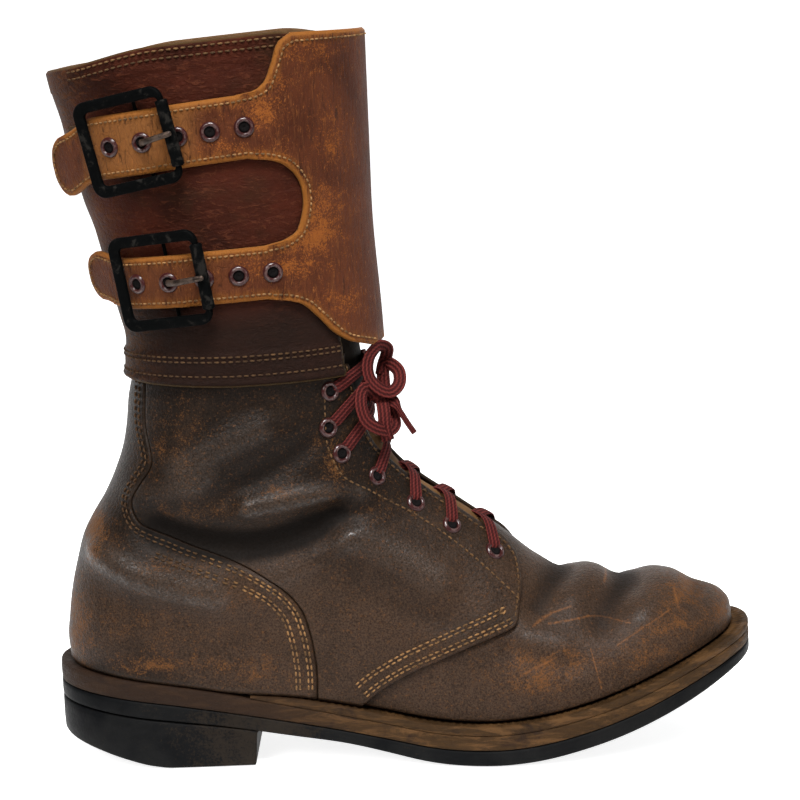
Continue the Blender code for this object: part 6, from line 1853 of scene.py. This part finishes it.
class BOOT_OT_stitching(bpy.types.Operator):
    """Thread of the seams, as small bowed stitches joined into one piece for each part"""

    bl_idname = "boot.stitching"
    bl_label = "Stitching"

    def execute(self, context):
        sizes = context.scene.boot_sizes
        self.pitch, self.radius = sizes.stitch_pitch / MM, 0.5 * sizes.thread_width / MM
        self.foot_seams()
        self.cuff_seams()
        self.flap_seams()
        return {"FINISHED"}

    def add(self, name, rows, pitch=1.0):
        """Rows of (points, normals, soil) made into one piece."""
        parts = [stitch_row(p, n, self.pitch * pitch, self.radius) for p, n, _soil in rows]
        soil = np.concatenate([np.full(len(part[0]), row[2]) for part, row in zip(parts, rows)])
        verts, faces = joined(parts)
        add_piece(name, verts, faces, "thread_twist", soil=soil)

    def foot_seams(self):
        """Two double rows inside the counter's edge and the quarter's low edge, one row below the eyelets."""
        rows = []
        r = np.linspace(0.0, SEAM_ROWS, SEAM_STEPS)
        z, x_seam, x_front, z_front = seam_row(r)
        z = stand_on_seat(x_seam, z, r)
        low = stand_on_seat(x_front, z_front, r)
        front = (r < 6.2) & (r > 0.3)
        facing = r > 6.4
        row_x, row_z = through([(x, 0.0, level) for x, level in FACING_ROW], 12)[:, ::2].T
        for side in (-1, 1):
            for inset in SEAM_INSETS:
                x, level = inset_line(x_seam, z, inset)
                top = 16.8 if inset < INNER_PAIR else 10.5
                for start, stop, soil in SEAM_SOIL + ((SEAM_SOIL[-1][1], top, LAST_SOIL),):
                    keep = (r > start) & (r <= stop)
                    rows.append(skin(x[keep], level[keep], side, LAYER_GAP + COUNTER_THICK) + (soil,))
            for inset in SEAM_INSETS:
                x, level = inset_line(x_front[front], low[front], inset)
                keep = level > seat(x) + 1.0
                rows.append(skin(x[keep], level[keep], side, LAYER_GAP + QUARTER_THICK) + (0.1,))
            x, level = inset_line(x_front[facing], low[facing], FACING_INSET)
            rows.append(skin(x, level, side, LAYER_GAP + QUARTER_THICK) + (0.7,))
            rows.append(skin(row_x, row_z, side, LAYER_GAP + QUARTER_THICK - 0.15) + (0.55,))
        self.add("foot_thread", rows)

    def cuff_seams(self):
        """Double rows under the rim and at the top of the low band, one row on the band's low edge."""
        rows = []
        _v, _fall, girths = cuff_grid(*CUFF_SEAM_GRID)
        for level, relief, soil in CUFF_SEAMS:
            drop = RIM_FALL * (level - CUFF_LOW) / (RIM_Z - CUFF_LOW)
            for s, side in zip(girths, (-1, 1)):
                s = s[:1] * 0.985 + 1.5
                points, normals = leg_wrap(np.array([level]), np.array([drop]), s, side)
                points[..., 2] += rim_lift(level, s)
                rows.append((points[0] + (CUFF_OFF + CUFF_THICK + relief) * normals[0], normals[0], soil))
        self.add("cuff_thread", rows)

    def flap_seams(self):
        """One row inside the flap's lateral edge and round both straps, in runs from strap to strap."""
        rows = []
        table = [(k,) + row for k, row in enumerate(FLAP_EDGE)]
        turn = np.linspace(1.0, -1.0, 60)
        line = [np.stack([np.full(40, FLAP_EDGE[0][0]), np.linspace(2.0, FLAP_EDGE[0][1] - 2.0, 40)])]
        for first, last, strap in ((0, 5, STRAPS[0]), (6, 13, STRAPS[1]), (14, len(FLAP_EDGE) - 1, None)):
            k = np.linspace(first, last, 60)
            line.append(np.stack([smooth(table, 1, k), smooth(table, 2, k)]))
            if strap:
                level = strap.low + (strap.top - strap.low) * (turn * 0.5 + 0.5)
                tip = strap_tip(strap, turn)
                out = np.linspace(line[-1][1, -1] + 1.0, tip[0] - 1.0, 80)
                line.append(np.stack([np.full(80, strap.top), out]))
                line.append(np.stack([level, tip]))
                line.append(np.stack([np.full(80, strap.low), out[::-1]]))
        v, s = np.concatenate(line, axis=1)
        v, s = even(np.stack([v, s], axis=1), FLAP_STEPS)[0].T
        s, v = inset_line(s, v, -EDGE_ROW)
        upper = v > 0.5 * (STRAPS[0].low + STRAPS[1].top)
        for strap, mine in ((STRAPS[0], upper), (STRAPS[1], ~upper)):
            girth = np.maximum(s[mine], 1.0)[:, None]
            points, normals = strap_points(v[mine], girth, strap)
            points[..., 0] += flap_lean(v[mine][:, None], girth)
            rows.append((points[:, 0] + FLAP_THICK * normals[:, 0], normals[:, 0], 0.0))
        self.add("flap_thread", rows, 0.8)


CARRIED = (("chape_upper", "cuff_leather"), ("chape_lower", "cuff_leather"), ("insole", "tan_leather"))


class BOOT_OT_carried(bpy.types.Operator):
    """Finishes for the parts that are shown as they are"""

    bl_idname = "boot.carried"
    bl_label = "Chapes and insole"

    def execute(self, context):
        for node, name in CARRIED:
            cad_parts[node].material_slots[0].material = material_of(name)
        return {"FINISHED"}


CAMERA_TARGET = np.array((152.4, 0.0, 148.0))
CAMERA_AZIMUTH = 0.5
CAMERA_ELEVATION = 9.9
CAMERA_ROLL = -2.5
CAMERA_DISTANCE = 1015.0
CAMERA_LENS = 106.9
SENSOR_WIDTH = 36.0

# Lights: name, place in metres, width and height, power, spread of the beam in degrees, colour
LIGHTS = (
    ("key_softbox", (-0.6, -1.2, 1.0), 0.8, 0.8, 1.2, 50.0, (1.0, 0.985, 0.96)),
    ("top_softbox", (0.05, -0.75, 1.4), 0.7, 0.5, 3.5, 55.0, (1.0, 1.0, 1.0)),
    ("fill_softbox", (1.2, -0.9, 0.7), 1.0, 1.0, 0.4, 50.0, (0.97, 0.985, 1.0)),
)
LIGHT_AIM = (0.0, 0.0, 0.14)
WORLD_STRENGTH = 0.08
FLOOR_GLOW = 0.85
GLOW_START = -0.16
GLOW_FULL = -0.05
COVE_START = 1.3
COVE_RADIUS = 0.8
COVE_TOP = 3.5
COVE_STEPS = 24
FLOOR_REACH = 5.0
FLOOR_DROP = 0.0003


class BOOT_OT_stage(bpy.types.Operator):
    """Pale floor, soft lights and the camera"""

    bl_idname = "boot.stage"
    bl_label = "Stage"

    def execute(self, context):
        scene = context.scene
        a, e, r = [math.radians(v) for v in (CAMERA_AZIMUTH, CAMERA_ELEVATION, CAMERA_ROLL)]
        back = np.array((math.sin(a) * math.cos(e), -math.cos(a) * math.cos(e), math.sin(e)))
        right = unit(np.cross(-back, (0.0, 0.0, 1.0)))
        up = np.cross(right, -back)
        turned_right = right * math.cos(r) + up * math.sin(r)
        turned_up = -right * math.sin(r) + up * math.cos(r)
        data = bpy.data.cameras.new("photo_camera")
        data.lens = CAMERA_LENS
        data.sensor_width = SENSOR_WIDTH
        camera = bpy.data.objects.new("photo_camera", data)
        scene.collection.objects.link(camera)
        place = (CAMERA_TARGET + CAMERA_DISTANCE * back - FRAME_ORIGIN) * MM
        matrix = Matrix((turned_right, turned_up, back)).transposed().to_4x4()
        matrix.translation = Vector(place)
        camera.matrix_world = matrix
        scene.camera = camera
        for name, where, width, tall, power, spread, colour in LIGHTS:
            light = bpy.data.lights.new(name, "AREA")
            light.shape = "RECTANGLE"
            light.size = width
            light.size_y = tall
            light.energy = power
            light.spread = math.radians(spread)
            light.color = colour
            lamp = bpy.data.objects.new(name, light)
            scene.collection.objects.link(lamp)
            lamp.location = where
            aim = Vector(LIGHT_AIM) - Vector(where)
            lamp.rotation_euler = aim.to_track_quat("-Z", "Y").to_euler()
        world = bpy.data.worlds.new("studio_world")
        world.use_nodes = True
        sky = world.node_tree.nodes["Background"]
        sky.inputs[0].default_value = (1.0, 1.0, 1.0, 1.0)
        sky.inputs[1].default_value = WORLD_STRENGTH
        scene.world = world
        scene.view_settings.view_transform = "Standard"
        self.make_floor(scene)
        return {"FINISHED"}

    def make_floor(self, scene):
        """Floor and backdrop in one sheet: flat, a quarter round cove, then upright."""
        turn = np.linspace(0.0, 0.5 * math.pi, COVE_STEPS)
        y = np.concatenate([[-FLOOR_REACH], COVE_START + COVE_RADIUS * np.sin(turn), [COVE_START + COVE_RADIUS]])
        z = np.concatenate([[0.0], COVE_RADIUS * (1.0 - np.cos(turn)), [COVE_TOP]]) - FLOOR_DROP
        x = np.array((-FLOOR_REACH, FLOOR_REACH))
        verts = np.stack([np.tile(x, len(y)), np.repeat(y, 2), np.repeat(z, 2)], axis=1)
        mesh = bpy.data.meshes.new("floor")
        mesh.from_pydata(verts.tolist(), [], grid_quads(len(y), 2).tolist())
        mesh.polygons.foreach_set("use_smooth", np.ones(len(y) - 1, bool))
        floor = bpy.data.objects.new("floor", mesh)
        scene.collection.objects.link(floor)
        material, tree, shader = start_material("pale_floor")
        shade = noise(tree, place_of(tree), 3.0, 2.0)
        pale = scene.boot_colours.floor
        colour = blend(tree, shade, pale, tuple(c * 0.99 for c in pale))
        tree.links.new(colour, shader.inputs["Base Color"])
        shader.inputs["Roughness"].default_value = 0.9
        depth = level_of(tree, place_of(tree), 1)
        glow = blend(tree, remap(tree, depth, GLOW_START, GLOW_FULL), (0.0, 0.0, 0.0), (1.0, 1.0, 1.0))
        tree.links.new(glow, shader.inputs["Emission Color"])
        shader.inputs["Emission Strength"].default_value = FLOOR_GLOW
        mesh.materials.append(material)


def length_property(name, description, default):
    """Length property with its words and default."""
    return FloatProperty(name=name, description=description, default=default, unit="LENGTH")


class BootSizes(bpy.types.PropertyGroup):
    """Sizes that a user would change"""

    lace_width: length_property("Lace width", "Width of the flat lace", 0.0055)
    lace_thick: length_property("Lace thickness", "Thickness of the flat lace", 0.0012)
    stitch_pitch: length_property("Stitch pitch", "One stitch and its gap", 0.0029)
    thread_width: length_property("Thread width", "Thickness of the thread", 0.0008)
    fold_depth: FloatProperty(name="Fold depth", description="Factor on the folds of the leather", default=1.0,
                              subtype="FACTOR")


def tone_property(name, description, default):
    """Colour property with its words and default."""
    return FloatVectorProperty(name=name, description=description, default=default, subtype="COLOR", size=3)


class BootColours(bpy.types.PropertyGroup):
    """Colours that a user would change"""

    leather_dark: tone_property("Upper, dark", "Dark tone of the waxed leather", (0.010, 0.0062, 0.0040))
    leather_mid: tone_property("Upper, mid", "Middle tone of the waxed leather", (0.0405, 0.0232, 0.0141))
    leather_rubbed: tone_property("Upper, rubbed", "Tone of the rubbed leather", (0.125, 0.050, 0.014))
    cuff_dark: tone_property("Cuff, dark", "Dark tone of the cuff", (0.022, 0.0065, 0.0038))
    cuff_mid: tone_property("Cuff, mid", "Middle tone of the cuff", (0.060, 0.0135, 0.0068))
    flap_dark: tone_property("Flap, dark", "Dark tone of flap and straps", (0.046, 0.0125, 0.0055))
    flap_mid: tone_property("Flap, mid", "Middle tone of flap and straps", (0.096, 0.0275, 0.0112))
    flap_rubbed: tone_property("Flap, rubbed", "Tone of rubbed flap leather", (0.27, 0.083, 0.016))
    raw_edge: tone_property("Raw edge", "Cut edge of the flap leather", (0.235, 0.084, 0.0155))
    welt_dark: tone_property("Welt, dark", "Dark tone of the sole leather", (0.0135, 0.0072, 0.0035))
    welt_light: tone_property("Welt, light", "Light tone of the sole leather", (0.059, 0.0305, 0.0115))
    rubber: tone_property("Rubber", "Heel and outsole rubber", (0.0034, 0.0037, 0.0042))
    eyelet: tone_property("Eyelet", "Paint of the eyelets", (0.030, 0.005, 0.005))
    lace_dark: tone_property("Lace, dark", "Between the yarns", (0.030, 0.005, 0.005))
    lace_light: tone_property("Lace, light", "Tops of the yarns", (0.135, 0.023, 0.019))
    thread: tone_property("Thread", "Seam thread", (0.30, 0.16, 0.064))
    floor: tone_property("Floor", "Studio floor", (0.92, 0.92, 0.92))


STEPS = (BOOT_OT_stage, BOOT_OT_laces, BOOT_OT_upper, BOOT_OT_overlays, BOOT_OT_tongue, BOOT_OT_cuff, BOOT_OT_flap,
         BOOT_OT_sole, BOOT_OT_eyelets, BOOT_OT_buckles, BOOT_OT_stitching, BOOT_OT_carried)


class BOOT_PT_panel(bpy.types.Panel):
    """Steps of the dressing, with their sizes and colours"""

    bl_label = "Buckle boot"
    bl_space_type = "VIEW_3D"
    bl_region_type = "UI"
    bl_category = "Boot"

    def draw(self, context):
        for step in STEPS:
            self.layout.operator(step.bl_idname)
        for group in (context.scene.boot_sizes, context.scene.boot_colours):
            for key in group.bl_rna.properties.keys():
                if key not in ("rna_type", "name"):
                    self.layout.prop(group, key)


CLASSES = (BootSizes, BootColours) + STEPS + (BOOT_PT_panel,)


def register():
    for item in CLASSES:
        bpy.utils.register_class(item)
    bpy.types.Scene.boot_sizes = PointerProperty(type=BootSizes)
    bpy.types.Scene.boot_colours = PointerProperty(type=BootColours)


def unregister():
    del bpy.types.Scene.boot_sizes
    del bpy.types.Scene.boot_colours
    for item in reversed(CLASSES):
        bpy.utils.unregister_class(item)


def main():
    """Registers the add-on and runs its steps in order."""
    register()
    for step in STEPS:
        group, name = step.bl_idname.split(".")
        getattr(getattr(bpy.ops, group), name)()


if __name__ == "__main__":
    main()
